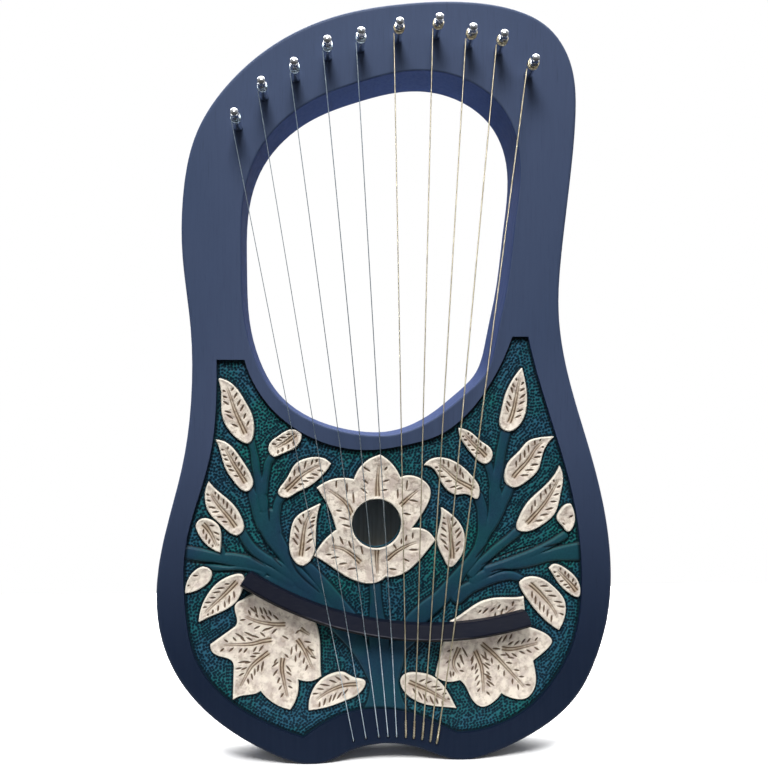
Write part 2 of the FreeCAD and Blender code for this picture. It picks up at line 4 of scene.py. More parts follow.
import bpy
import numpy as np
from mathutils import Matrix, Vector


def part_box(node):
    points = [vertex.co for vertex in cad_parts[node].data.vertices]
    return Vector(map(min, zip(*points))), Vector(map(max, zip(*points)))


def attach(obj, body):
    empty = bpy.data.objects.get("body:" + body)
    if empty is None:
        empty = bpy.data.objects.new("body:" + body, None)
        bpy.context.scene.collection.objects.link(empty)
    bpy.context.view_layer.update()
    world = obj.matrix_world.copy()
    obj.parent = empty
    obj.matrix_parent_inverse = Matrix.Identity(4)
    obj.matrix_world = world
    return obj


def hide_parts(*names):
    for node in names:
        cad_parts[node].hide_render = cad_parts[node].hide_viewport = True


# The looks of a ten-string lyre: a stained wooden frame round a punched and carved soundboard with painted
# leaves, a black arched bridge, nickel tuning pins, plain and wound strings.
# Lengths in the tables and in the carving code are millimetres, as (x, z) seen from the front.
# Every mesh is made in metres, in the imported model's own frame.

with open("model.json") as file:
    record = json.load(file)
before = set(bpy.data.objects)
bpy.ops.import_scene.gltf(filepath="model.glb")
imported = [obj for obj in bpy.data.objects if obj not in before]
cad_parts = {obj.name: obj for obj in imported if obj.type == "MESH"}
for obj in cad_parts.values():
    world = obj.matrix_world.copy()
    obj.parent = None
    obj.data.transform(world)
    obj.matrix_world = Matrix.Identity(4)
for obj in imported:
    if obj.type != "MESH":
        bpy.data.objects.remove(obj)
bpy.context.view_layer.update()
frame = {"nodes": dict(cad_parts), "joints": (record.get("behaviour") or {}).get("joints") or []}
MM = 0.001
RANDOM = np.random.default_rng(7)

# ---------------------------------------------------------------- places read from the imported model

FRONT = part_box("frame")[0].y / MM
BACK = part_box("frame")[1].y / MM
BOARD_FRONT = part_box("soundboard")[0].y / MM
BOARD_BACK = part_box("soundboard")[1].y / MM
CARVING_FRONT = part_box("leaf_left_1")[0].y / MM
CARVINGS = [name for name in frame["nodes"] if "leaf" in name or "flower" in name]
RING_LIP = 3.0               # the board reaches this far behind the window's edge
SOUND_HOLE = (-6.1, 135.3)

# ---------------------------------------------------------------- the carved tree on the soundboard

GROUND_LEVEL = 0.25          # punched ground above the board's plain face
BRANCH_LEVEL = 1.0           # branches' edges above the ground
BRANCH_CROWN = 0.35          # extra height along a branch's middle
BRANCH_SLOPE = 1.1           # width of a branch's sloping side
BOARD_CELL = 0.47            # spacing of the board's mesh
PIT_ROWS = 1.5               # spacing of the rows of punched pits
PIT_PITCH = 1.75             # spacing of the pits along a row
PIT_HALF = (0.95, 0.74)      # a pit is longer along its row
PIT_DEPTH = 0.55
OUTLINE_SHADE_WIDTH = 1.3          # dark line of painted shade round the leaves and beside the branches
RING_SHADE_WIDTH = 1.7             # dark line of painted shade along the window's edge, under the frame's lip

# Centre lines of the branches, each point with half the branch's width there.
BRANCHES = {
    "left_top": [(-77, 182, 2), (-75.5, 176.5, 1.7), (-74.5, 170.5, 2.1), (-73.5, 163.5, 1.9),
                 (-72, 157.5, 2.4), (-71, 151, 2.8), (-69.5, 144.5, 2.8)],
    "left_small_leaf": [(-65, 174, 2), (-67.5, 169.5, 2), (-68.5, 163.5, 1.8), (-69.5, 158.5, 2),
                        (-70, 153.5, 2.2)],
    "left_second_leaf": [(-77, 155, 1.6), (-76, 151.5, 2.2), (-74.5, 145.5, 2.3), (-73, 140, 2.6),
                         (-70, 133.5, 3.2)],
    "left_inner_leaf": [(-60, 151, 2.4), (-62, 147, 2.2), (-63, 141.5, 2.2), (-63.5, 136.5, 2.6),
                        (-63, 131.5, 3)],
    "left_main": [(-67.5, 138, 6.2), (-66, 131.5, 5.2), (-62.5, 125, 4.4), (-58.5, 118.5, 3.7),
                  (-54.5, 112.5, 3.4), (-50, 105.5, 4.2), (-43.5, 98, 4.8), (-39, 91.5, 4.8)],
    "left_third_leaf": [(-82, 131, 2.1), (-79, 125.5, 2.4), (-75, 120.5, 2.6), (-69, 116, 2.6),
                        (-63.5, 113, 2.7), (-58.5, 109.5, 3), (-52.5, 104.5, 3.2), (-46, 98.5, 3.4)],
    "left_rim": [(-116, 120.5, 3.6), (-107, 119, 3.4), (-95.5, 117, 3), (-86, 115.5, 3.6),
                 (-77, 113.5, 3.4), (-69, 110.5, 2.6), (-62.5, 106.5, 2.8), (-55, 102, 3)],
    "left_low_leaf": [(-102, 112, 1.4), (-97.5, 111.5, 1.7), (-91, 111, 1.3), (-83, 111, 1.2),
                      (-75.5, 109.5, 1.4), (-70, 107.5, 2)],
    "left_round_leaf": [(-93.5, 122, 1.4), (-92.5, 117.5, 1.8)],
    "left_root": [(-76, 105.5, 2.2), (-66, 102.5, 4), (-56, 97.5, 6), (-46, 92, 6.5), (-36, 85, 6)],
    "left_hole_leaf": [(-47.5, 113.5, 2.2), (-43.5, 109.5, 2.8), (-39, 104, 3.2), (-34, 98, 3.6),
                       (-28, 90, 4), (-22, 82, 4.5)],
    "right_top": [(68.5, 188, 2.8), (66.5, 179.5, 2.6), (65, 172, 2.6), (64, 165, 2.6), (62.5, 157.5, 2.6),
                  (62, 150, 2.6)],
    "right_small_leaf": [(58, 169, 2.1), (59.5, 164, 1.8), (60.5, 159.5, 1.9), (61.5, 153, 2.2)],
    "right_second_leaf": [(70.5, 155.5, 2.6), (69, 151.5, 2.8), (67, 147, 2.6), (65, 141.5, 2.4),
                          (62, 135.5, 2.2)],
    "right_inner_leaf": [(52.5, 150, 2.6), (54.5, 143.5, 2.7), (55, 136, 2.7), (54.5, 129, 2.4),
                         (53, 123, 2.4)],
    "right_main": [(62, 153, 3.4), (63, 143, 4.4), (60.5, 135.5, 3.4), (56.5, 128.5, 2.9), (53, 121, 2.9),
                   (48.5, 113.5, 3), (43, 107.5, 3), (37, 99.5, 4.1), (30.5, 92, 4.6), (22, 85, 5.2),
                   (15.5, 78.5, 5.4), (12, 71.5, 5.4), (6, 65, 4.4)],
    "right_third_leaf": [(74.5, 129, 2.5), (69.5, 125, 2.2), (63, 120, 2.3), (58, 115.5, 2.3),
                         (53.5, 111.5, 2.4), (48.5, 106, 2.6)],
    "right_rim_leaf": [(102.5, 127, 2.2), (96.5, 123.5, 2), (91, 120.5, 2.1), (83.5, 117, 2.2),
                       (71, 112.5, 2.1), (57.5, 108, 2.2)],
    "right_rim": [(114, 118, 5.5), (102, 117, 4.1), (93, 115.5, 3.2), (85, 113.5, 3.2), (76, 111.5, 3),
                  (66, 109.5, 2.2), (58, 106.5, 2.4), (50, 102, 3)],
    "right_low_leaf": [(77.5, 102.5, 1.8), (71.5, 104.5, 2.4), (65.5, 104, 2.6), (60.5, 102.5, 2.5),
                       (54.5, 100.5, 2.9), (47, 97.5, 3.4), (40.5, 93, 4.2)],
    "trunk_right": [(15.5, 78.5, 5), (8, 67, 4.2), (5, 55.5, 4), (4, 49, 3.3), (3.5, 42.5, 3.2),
                    (5, 33, 4), (8, 26, 5)],
    "trunk_centre": [(-7, 101.5, 3), (-6.5, 92, 3.1), (-6, 82.5, 4), (-5, 76, 5), (-4.5, 66.5, 5.6),
                     (-2.5, 56, 5.2), (-1, 43, 4.6), (-1, 27, 5.4)],
    "trunk_left": [(-39, 91.5, 4.6), (-31, 82, 5), (-22, 73, 5.2), (-15, 64, 4.8), (-11, 57, 4.4),
                   (-8, 50, 4), (-6.5, 43, 3.2), (-7.5, 33, 4), (-10, 26, 5)],
}

# Knife lines that part the branches where they join.
FORKS = [
    [(-56.2, 119.7), (-50.4, 108.1), (-38.2, 96.5)],
    [(-73.1, 133.7), (-67.8, 120.9), (-59.7, 111.6)],
    [(-83.5, 125.5), (-78.3, 118.5), (-69, 112.2)],
    [(-67.2, 147.6), (-66.7, 137.7)],
    [(-111.9, 114.5), (-95.7, 113.3)],
    [(-99.2, 109.3), (-87, 109.3), (-73, 107.6)],
    [(50.4, 114.8), (57, 122.7)],
    [(59.2, 106.8), (65, 108.2), (75.1, 106.8)],
    [(54.1, 111.1), (72.2, 118.4), (88.2, 122.7)],
    [(90.3, 120.6), (99.7, 122.7)],
    [(25.8, 98), (30.1, 106.5)],
]
FORK_WIDTH = 0.65
FORK_DEPTH = 0.55

# ---------------------------------------------------------------- the painted carvings

RIM_ROUND = 0.55             # rounding of a carving's rim
DISH_DEPTH = 1.2             # how much lower a petal's or leaf's middle lies than its rim
DISH_REACH = 8.0             # distance from the rim at which the dish is at its deepest
RIM_HIGHLIGHT_WIDTH = 0.9              # painted highlight along a carving's rim
RIB_DEPTH = 0.6
RIB_SPREAD = 0.75            # the two grooves beside a rib run this far from its middle
RIB_GROOVE = 0.42
CUT_DEPTH = 0.65
CUT_WIDTH = 1.5
VEIN_SPAN = 7.5              # half the width of a lobe that its side veins fill
CARVING_CELL = 0.3

# Ribs and knife cuts of the lobed carvings.
RIBS = {
    "flower_rosette": [
        [(-5.5, 150), (-5.5, 160.5), (-4.5, 171)],
        [(-19.5, 139.5), (-23, 146.5), (-28, 151), (-34.5, 155.5)],
        [(7, 145), (12.5, 150), (18.5, 155)],
        [(-14.5, 112.5), (-20.5, 118), (-26.5, 121.5), (-33.5, 122.5)],
        [(-1, 114), (5, 119), (11.5, 122.5), (18.5, 125)],
        [(-6, 121.5), (-6, 114.5), (-5.5, 105.5)],
    ],
    "maple_leaf_left": [
        [(-56.5, 79), (-64, 79), (-74, 81), (-82.5, 85)],
        [(-64, 70.5), (-70.5, 69.5), (-78, 68), (-95, 68)],
        [(-66, 64), (-74, 58), (-78, 53.5), (-84, 42)],
        [(-59, 61), (-59.5, 52.5), (-56, 36)],
        [(-51.5, 71), (-47.5, 65), (-42, 53)],
        [(-49.5, 76.5), (-43.5, 72.5)],
        [(-46, 66), (-41, 59.5)],
    ],
    "maple_leaf_right": [
        [(41.5, 64.5), (38, 55), (41, 48)],
        [(50, 63), (53, 56), (54.5, 50.5), (55.5, 35)],
        [(53, 67), (62, 59), (73, 47), (81, 38)],
        [(65, 63), (73.5, 62.5), (89, 66)],
        [(56, 72), (66, 80), (75, 87)],
    ],
}
CUTS = {
    "flower_rosette": [
        [(-13.5, 167.5), (-10, 165)], [(-14, 160.5), (-11, 158)], [(-15, 155.5), (-11.5, 152.5)],
        [(0, 167.5), (-1.5, 165.5)], [(1, 160), (-2, 159)], [(0, 154.5), (-3, 154)],
        [(-29, 160), (-29, 156)], [(-23, 158.5), (-23, 152.5)], [(-19.5, 153), (-19, 147)],
        [(-29, 143), (-26, 142.5)], [(-27, 139), (-22, 137.5)], [(-25.5, 135), (-20.5, 133.5)],
        [(11.5, 159.5), (11, 154.5)], [(6, 154.5), (6, 149.5)], [(17.5, 147.5), (12.5, 148.5)],
        [(13.5, 140), (9, 141)], [(9, 136), (9, 134)], [(-31, 128), (-30.5, 124.5)],
        [(-27, 128), (-25, 123.5)], [(-22, 125.5), (-20.5, 121.5)], [(-15, 122.5), (-14, 118)],
        [(-34.5, 118), (-32, 118)], [(-32, 116), (-27.5, 116.5)], [(-27.5, 112.5), (-23, 113)],
        [(-22.5, 109.5), (-17.5, 110)], [(14.5, 130), (14.5, 126.5)], [(11, 128.5), (10.5, 125)],
        [(8, 126.5), (8, 123.5)], [(3.5, 123.5), (5, 121)], [(17.5, 120), (12.5, 120)],
        [(12.5, 113.5), (9, 115)], [(5, 109), (1, 109.5)],
    ],
    "maple_leaf_left": [
        [(-77.5, 89), (-74.5, 86)], [(-75, 89.5), (-73.5, 85)], [(-72, 89), (-70.5, 85)],
        [(-70, 88.5), (-68, 84.5)], [(-67, 87), (-65.5, 84)], [(-85.5, 74.5), (-81, 71.5)],
        [(-80.5, 75), (-75, 72)], [(-70, 75.5), (-64.5, 77.5)], [(-84, 58), (-78.5, 58.5)],
        [(-85.5, 54.5), (-82, 55)], [(-54, 66), (-54.5, 61.5)], [(-58, 62), (-56, 60)],
        [(-52, 61), (-52, 57.5)], [(-70.5, 57), (-71, 52.5)], [(-62.5, 59.5), (-64, 57)],
        [(-59.5, 72.5), (-56, 70.5)], [(-52, 73.5), (-50, 75.5)],
    ],
    "maple_leaf_right": [
        [(43, 64), (46, 58.5)], [(41.5, 59.5), (44, 54)], [(54, 59.5), (57.5, 56)],
        [(55, 54.5), (58.5, 51)], [(49.5, 59), (48, 56)], [(49.5, 53), (48.5, 50.5)],
        [(55.5, 48.5), (60, 46)], [(57.5, 44.5), (61.5, 41.5)], [(36, 50.5), (36.5, 47)],
        [(66, 69.5), (63.5, 66)], [(69, 70.5), (66.5, 66.5)], [(72, 71), (70.5, 68)],
        [(52.5, 83.5), (54, 85)], [(55, 83), (58, 86)], [(59.5, 84), (61.5, 86)],
        [(63.5, 85.5), (65, 88)], [(69.5, 57.5), (73, 57)],
    ],
}

# ---------------------------------------------------------------- strings

STRING_HOLES = [(-19.2, 12.8), (-12.2, 14), (-4.9, 14.6), (0.3, 14.7), (5.2, 14.5),
                (10.4, 14.1), (14.9, 13.5), (19.7, 12.7), (24.3, 11.4), (28, 10.2)]
STRING_DIAMETERS = [0.4, 0.4, 0.45, 0.5, 0.5, 0.6, 0.65, 0.7, 0.75, 0.8]
FIRST_WOUND = 6              # strings from this one on are bronze wound
BRIDGE_CENTRE = (27.5, 268.2)
BRIDGE_CREST_RADIUS = 196.7
BRIDGE_CREST = 8.2           # crest above the front face
ABOVE_WOOD = 0.9             # where a string turns upwards, in front of its hole
BALL_DEPTH = 2.4             # ball's centre in front of the back face
PIN_RADIUS = 2.45
COIL_HEIGHT = 11.6
COIL_TURNS = 3.0
EYE_HEIGHT = 15.2
COIL_GAP = 0.15

# ---------------------------------------------------------------- plane geometry


def smooth_line(stations, step=1.5):
    """A Catmull-Rom curve through the stations, at roughly even steps. Every column is interpolated."""
    points = np.array(stations, float)
    if len(points) == 2:
        count = max(2, int(np.hypot(*(points[1] - points[0])[:2]) / step) + 1)
        return points[0] + np.linspace(0, 1, count)[:, None] * (points[1] - points[0])
    padded = np.vstack([2 * points[0] - points[1], points, 2 * points[-1] - points[-2]])
    result = []
    for before, here, after, beyond in zip(padded, padded[1:], padded[2:], padded[3:]):
        count = max(2, int(np.hypot(*(after - here)[:2]) / step) + 1)
        t = np.arange(count)[:, None] / count
        result.append(0.5 * (2 * here + (after - before) * t
                             + (2 * before - 5 * here + 4 * after - beyond) * t ** 2
                             + (3 * here - before - 3 * after + beyond) * t ** 3))
    result.append(points[-1:])
    return np.vstack(result)


def along_line(line, points):
    """For each point: its distance from the line, and how far along it is, from 0 to the last index."""
    gap = np.full(len(points), np.inf)
    place = np.zeros(len(points))
    for index, (start, end) in enumerate(zip(line[:, :2], line[1:, :2])):
        run = end - start
        t = np.clip((points - start) @ run / max(run @ run, 1e-9), 0, 1)
        away = np.hypot(*(points - start - t[:, None] * run).T)
        nearer = away < gap
        gap[nearer] = away[nearer]
        place[nearer] = index + t[nearer]
    return gap, place


def nearest_on(loops, points):
    """For each point: the closest point on the closed polygons, and its distance."""
    gap = np.full(len(points), np.inf)
    closest = np.zeros_like(points)
    for loop in loops:
        for start, end in zip(loop, np.roll(loop, -1, axis=0)):
            run = end - start
            t = np.clip((points - start) @ run / max(run @ run, 1e-9), 0, 1)
            spot = start + t[:, None] * run
            away = np.hypot(*(points - spot).T)
            nearer = away < gap
            gap[nearer] = away[nearer]
            closest[nearer] = spot[nearer]
    return closest, gap


def inside(loops, xs, zs):
    """Which grid points lie inside the closed polygons, by the even-odd rule."""
    mask = np.zeros((len(zs), len(xs)), bool)
    for row, z in enumerate(zs):
        crossings = []
        for loop in loops:
            ahead = np.roll(loop, -1, axis=0)
            hit = (loop[:, 1] > z) != (ahead[:, 1] > z)
            start, end = loop[hit], ahead[hit]
            slope = (end[:, 0] - start[:, 0]) / (end[:, 1] - start[:, 1])
            crossings.append(start[:, 0] + (z - start[:, 1]) * slope)
        mask[row] = np.searchsorted(np.sort(np.concatenate(crossings)), xs) % 2 == 1
    return mask


def front_loops(node):
    """The outlines of a CAD node's front face, as closed polygons of (x, z) in millimetres."""
    mesh = frame["nodes"][node].data
    spots = np.array([v.co for v in mesh.vertices]) / MM
    front = spots[:, 1].min()
    keys = [tuple(np.round(spot, 4)) for spot in spots]
    edges = set()
    for polygon in mesh.polygons:
        if all(spots[i][1] < front + 1e-3 for i in polygon.vertices):
            ring = [keys[i] for i in polygon.vertices]
            for pair in zip(ring, ring[1:] + ring[:1]):
                if (pair[1], pair[0]) in edges:
                    edges.remove((pair[1], pair[0]))
                else:
                    edges.add(pair)
    following = dict(edges)
    loops = []
    while following:
        start, here = following.popitem()
        loop = [start]
        while here != start:
            loop.append(here)
            here = following.pop(here)
        loops.append(np.array([(x, z) for x, _, z in loop]))
    return sorted(loops, key=lambda loop: np.ptp(loop[:, 0]), reverse=True)


def ease(value):
    """Smooth step from 0 to 1."""
    value = np.clip(value, 0, 1)
    return value * value * (3 - 2 * value)


# ---------------------------------------------------------------- meshes


def grid_surface(mask):
    """The corners that the largest patch of whole cells uses, and its cells, as indices of those corners."""
    cells = mask[:-1, :-1] & mask[1:, :-1] & mask[:-1, 1:] & mask[1:, 1:]
    while True:
        a, b, c, d = cells[:-1, :-1], cells[:-1, 1:], cells[1:, :-1], cells[1:, 1:]
        pinched = (a & d & ~b & ~c) | (b & c & ~a & ~d)
        if not pinched.any():
            break
        rows, columns = np.nonzero(pinched)
        cells[rows, columns] = False
        cells[rows, columns + 1] = False
    fullest = cells.sum(1).argmax()
    patch = np.zeros_like(cells)
    patch[fullest, np.nonzero(cells[fullest])[0][0]] = True
    while True:
        spread = patch.copy()
        spread[1:] |= patch[:-1]
        spread[:-1] |= patch[1:]
        spread[:, 1:] |= patch[:, :-1]
        spread[:, :-1] |= patch[:, 1:]
        spread &= cells
        if (spread == patch).all():
            break
        patch = spread
    rows, columns = np.nonzero(patch)
    corners = np.stack([rows, rows, rows + 1, rows + 1, columns, columns + 1, columns + 1, columns])
    flat = corners[:4] * mask.shape[1] + corners[4:]
    used, indices = np.unique(flat, return_inverse=True)
    return used, indices.reshape(4, -1).T


def outer_edges(quads):
    """Directed edges that only one of the quads has."""
    edges = np.concatenate([quads[:, [i, (i + 1) % 4]] for i in range(4)])
    size = quads.max() + 1
    forward = edges[:, 0] * size + edges[:, 1]
    backward = edges[:, 1] * size + edges[:, 0]
    return edges[~np.isin(forward, backward)]


def relief(name, loops, cell, carve, back, columns=None):
    """A slab whose front is carved: a fine grid inside the outline, snapped to it, with a flat back.
    carve(points, gaps) gives each point's depth y and a dict of values for the material."""
    if columns is None:
        low, high = loops[0].min(0), loops[0].max(0)
        columns = np.arange(low[0] - cell, high[0] + cell, cell)
    heights = loops[0][:, 1]
    rows = np.arange(heights.min() - cell, heights.max() + cell, cell)
    used, quads = grid_surface(inside(loops, columns, rows))
    points = np.stack([columns[used % len(columns)], rows[used // len(columns)]], axis=1)
    closest, gaps = nearest_on(loops, points)
    rim = outer_edges(quads)
    on_rim = np.zeros(len(points), bool)
    on_rim[rim[:, 0]] = True
    snapped = on_rim & (gaps < 1.5 * cell)
    points[snapped] = closest[snapped]
    gaps[snapped] = 0
    pull_to_corners(loops, points, np.nonzero(snapped)[0], 2 * cell)
    depth, values = carve(points, gaps)

    count = len(points)
    rim_points = np.unique(rim)
    lower = np.full(count, -1)
    lower[rim_points] = count + np.arange(len(rim_points))
    spots = np.zeros((count + len(rim_points), 3))
    spots[:count] = np.stack([points[:, 0], depth, points[:, 1]], axis=1)
    spots[count:] = spots[rim_points]
    spots[count:, 1] = back
    walls = np.stack([rim[:, 1], rim[:, 0], lower[rim[:, 0]], lower[rim[:, 1]]], axis=1)
    faces = np.concatenate([quads, walls]).tolist()
    around = ordered(rim)
    if len(around) == len(rim_points):
        faces.append(lower[around[::-1]].tolist())
    else:
        within = np.nonzero(lower < 0)[0]
        lower[within] = len(spots) + np.arange(len(within))
        behind = spots[within]
        behind[:, 1] = back
        spots = np.concatenate([spots, behind])
        faces += lower[quads[:, ::-1]].tolist()
    mesh = bpy.data.meshes.new(name)
    mesh.from_pydata((spots * MM).tolist(), [], faces)
    for label, value in values.items():
        layer = mesh.attributes.new(label, "FLOAT", "POINT")
        layer.data.foreach_set("value", np.append(value, np.zeros(len(spots) - count)).astype(np.float32))
    return finished(name, mesh)


def ordered(edges):
    """The points of one closed chain of directed edges, in turn."""
    following = dict(edges.tolist())
    start = edges[0, 0]
    chain = [start]
    while following[chain[-1]] != start:
        chain.append(following[chain[-1]])
    return np.array(chain)


def pull_to_corners(loops, points, candidates, reach):
    """Moves the nearest rim point onto each sharp corner of the outline, so that tips stay sharp."""
    for loop in loops:
        into = loop - np.roll(loop, 1, axis=0)
        out = np.roll(loop, -1, axis=0) - loop
        turn = np.abs(np.angle((out[:, 0] + 1j * out[:, 1]) / (into[:, 0] + 1j * into[:, 1])))
        for corner in loop[turn > math.radians(30)]:
            away = np.hypot(*(points[candidates] - corner).T)
            if away.min() < reach:
                points[candidates[away.argmin()]] = corner


def finished(name, mesh, crease=50):
    """An object for the mesh, smooth except over sharp edges."""
    mesh.shade_smooth()
    mesh.set_sharp_from_angle(angle=math.radians(crease))
    piece = bpy.data.objects.new(name, mesh)
    bpy.context.scene.collection.objects.link(piece)
    return piece


def tube(points, radii, sides=12, spots=None, faces=None):
    """Adds a closed tube along the points to the lists of vertices and faces."""
    spots = [] if spots is None else spots
    faces = [] if faces is None else faces
    points = [Vector(p) for p in points]
    side = (points[1] - points[0]).orthogonal().normalized()
    first = len(spots)
    for index, point in enumerate(points):
        before, after = points[max(index - 1, 0)], points[min(index + 1, len(points) - 1)]
        ahead = (after - before).normalized()
        side = (side - ahead * side.dot(ahead)).normalized()
        other = ahead.cross(side)
        radius = radii[index] if hasattr(radii, "__len__") else radii
        for turn in range(sides):
            angle = 2 * math.pi * turn / sides
            spots.append(point + radius * (math.cos(angle) * side + math.sin(angle) * other))
    for ring in range(len(points) - 1):
        for turn in range(sides):
            a, b = first + ring * sides + turn, first + ring * sides + (turn + 1) % sides
            faces.append((a, b, b + sides, a + sides))
    faces.append(tuple(first + turn for turn in reversed(range(sides))))
    faces.append(tuple(first + (len(points) - 1) * sides + turn for turn in range(sides)))
    return spots, faces


def tube_piece(name, spots, faces):
    mesh = bpy.data.meshes.new(name)
    mesh.from_pydata([tuple(Vector(spot) * MM) for spot in spots], [], faces)
    return finished(name, mesh)


# ---------------------------------------------------------------- soundboard


def branch_field(points):
    """How far each point is inside or outside the nearest branch (negative inside), and its relief."""
    edge = np.full(len(points), 50.0)
    height = np.zeros(len(points))
    margin = 9.0
    for stations in BRANCHES.values():
        line = smooth_line(stations)
        low, high = line[:, :2].min(0) - margin, line[:, :2].max(0) + margin
        near = np.nonzero(((points > low) & (points < high)).all(1))[0]
        gap, place = along_line(line, points[near])
        width = np.interp(place, np.arange(len(line)), line[:, 2])
        out = gap - width
        rise = ease((0.3 - out) / BRANCH_SLOPE)
        crown = BRANCH_CROWN * np.clip(1 - (gap / width) ** 2, 0, 1)
        edge[near] = np.minimum(edge[near], out)
        height[near] = np.maximum(height[near], BRANCH_LEVEL * rise + crown)
    return edge, height


def fork_field(points):
    """How deep the knife lines between the branches are at each point, from 0 to 1."""
    depth = np.zeros(len(points))
    for stations in FORKS:
        line = smooth_line(stations)
        gap, place = along_line(line, points)
        taper = np.sqrt(np.clip(np.sin(math.pi * np.clip(place / (len(line) - 1), 0.03, 0.97)), 0, 1))
        depth = np.maximum(depth, np.exp(-(gap / (FORK_WIDTH * taper)) ** 2))
    return depth


def leaf_field(points):
    """Distance from each point to the nearest carving's outline, negative under the carving."""
    result = np.full(len(points), 50.0)
    margin = 9.0
    for node in CARVINGS:
        loops = front_loops(node)
        low, high = loops[0].min(0) - margin, loops[0].max(0) + margin
        near = np.nonzero(((points > low) & (points < high)).all(1))[0]
        gap = nearest_on(loops, points[near])[1]
        ahead = np.roll(loops[0], -1, axis=0)
        spots = points[near]
        crossed = np.zeros(len(near), int)
        for start, end in zip(loops[0], ahead):
            spans = (start[1] > spots[:, 1]) != (end[1] > spots[:, 1])
            if spans.any():
                across = start[0] + (spots[:, 1] - start[1]) * (end[0] - start[0]) / (end[1] - start[1])
                crossed += spans & (spots[:, 0] < across)
        gap = np.where(crossed % 2 == 1, -gap, gap)
        result[near] = np.minimum(result[near], gap)
    return result


def pit_places(points, clearance):
    """Rows of pits that follow the outlines of whatever the ground surrounds."""
    chosen, previous = [], []
    for row in np.arange(1.15, clearance.max(), PIT_ROWS):
        band = points[np.abs(clearance - row) < 0.3]
        free = np.ones(len(band), bool)
        for pit in previous:
            free &= np.hypot(*(band - pit).T) > 0.8 * PIT_ROWS
        previous = []
        while free.any():
            here = band[np.nonzero(free)[0][0]]
            while True:
                previous.append(here)
                away = np.hypot(*(band - here).T)
                free &= away > 0.93 * PIT_PITCH
                following = free & (away < 1.3 * PIT_PITCH)
                if not following.any():
                    break
                options = np.nonzero(following)[0]
                here = band[options[away[options].argmin()]]
        chosen += previous
    return np.array(chosen)


def make_soundboard():
    """The carved panel, in two halves that meet down the middle of the sound hole."""
    loops = front_loops("soundboard")
    seam = SOUND_HOLE[0]
    low, high = loops[0].min(0), loops[0].max(0)
    left = -math.ceil((seam - low[0]) / BOARD_CELL) - 1
    right = math.ceil((high[0] - seam) / BOARD_CELL) + 2
    columns = seam + BOARD_CELL * np.arange(left, right)
    rows = np.arange(low[1] - BOARD_CELL, high[1] + BOARD_CELL, BOARD_CELL)
    grid = np.stack(np.meshgrid(columns, rows), axis=-1)
    points = grid.reshape(-1, 2)
    mask = inside(loops, columns, rows).ravel()
    edge, relief_height = (np.full(len(points), v) for v in (50.0, 0.0))
    edge[mask], relief_height[mask] = branch_field(points[mask])
    leaf = np.full(len(points), 50.0)
    leaf[mask] = leaf_field(points[mask])
    rim = np.zeros(len(points))
    rim[mask] = nearest_on(loops[:1], points[mask])[1] - RING_LIP
    fork = np.zeros(len(points))
    fork[mask] = fork_field(points[mask])
    fork *= leaf > 0
    clearance = np.minimum(np.minimum(edge, leaf), rim)
    ground = mask & (clearance > 0.7)
    climb = np.arctan2(*np.gradient(clearance.reshape(grid.shape[:2])))
    pits = np.zeros(grid.shape[:2])
    for centre in pit_places(points[ground], clearance[ground]):
        stamp_pit(pits, climb, columns, rows, centre + RANDOM.normal(0, 0.12, 2))
    pits = pits.ravel()
    fade = ease((clearance - 0.2) / 0.6)
    dip = PIT_DEPTH * pits * fade
    outline = np.exp(-(np.maximum(leaf, 0) / OUTLINE_SHADE_WIDTH) ** 2)
    beside = np.exp(-((edge - 0.45) / 0.6) ** 2) * (leaf > 0)
    height = GROUND_LEVEL + relief_height - dip - 0.25 * outline - 0.12 * beside - FORK_DEPTH * fork
    height *= ease((leaf + 1.2) / 1.0)
    # ring marks where painted shade runs along the window's edge, under the frame's lip
    ring = np.exp(-(np.maximum(rim, 0) / RING_SHADE_WIDTH) ** 2)
    # pit and line carry painted shade to the glaze: in the pits, round the carvings, beside the branches, in
    # the knife lines and along the window's edge
    values = {"pit": pits * fade, "branch": ease((0.2 - edge) / 0.8),
              "line": np.maximum.reduce([outline, beside, fork, ring])}

    def sample(places, _):
        column = np.clip(np.rint((places[:, 0] - columns[0]) / BOARD_CELL).astype(int), 0, len(columns) - 1)
        row = np.clip(np.rint((places[:, 1] - rows[0]) / BOARD_CELL).astype(int), 0, len(rows) - 1)
        index = row * len(columns) + column
        return BOARD_FRONT - height[index], {label: value[index] for label, value in values.items()}

    middle = -left
    for label, half in (("left", columns[:middle + 1]), ("right", columns[middle:])):
        piece = relief(f"soundboard_{label}", loops, BOARD_CELL, sample, BOARD_BACK, half)
        dress(piece, "body", ["soundboard"], paint["soundboard"])


def stamp_pit(pits, climb, columns, rows, centre):
    """Presses one oval, rounded pit into the grid, along its row."""
    reach = 3
    column = int(round((centre[0] - columns[0]) / BOARD_CELL))
    row = int(round((centre[1] - rows[0]) / BOARD_CELL))
    if not (reach <= column < len(columns) - reach and reach <= row < len(rows) - reach):
        return
    across = slice(column - reach, column + reach + 1)
    down = slice(row - reach, row + reach + 1)
    x, z = np.meshgrid(columns[across] - centre[0], rows[down] - centre[1])
    turn = climb[row, column] + math.pi / 2 + RANDOM.normal(0, 0.25)
    stretch = RANDOM.uniform(0.85, 1.1)
    u = (x * math.cos(turn) + z * math.sin(turn)) / (PIT_HALF[0] * stretch)
    v = (z * math.cos(turn) - x * math.sin(turn)) / PIT_HALF[1]
    fall = np.clip(1 - u ** 2 - v ** 2, 0, 1) * RANDOM.uniform(0.75, 1.0)
    pits[down, across] = np.maximum(pits[down, across], fall)


# ---------------------------------------------------------------- leaves and flower


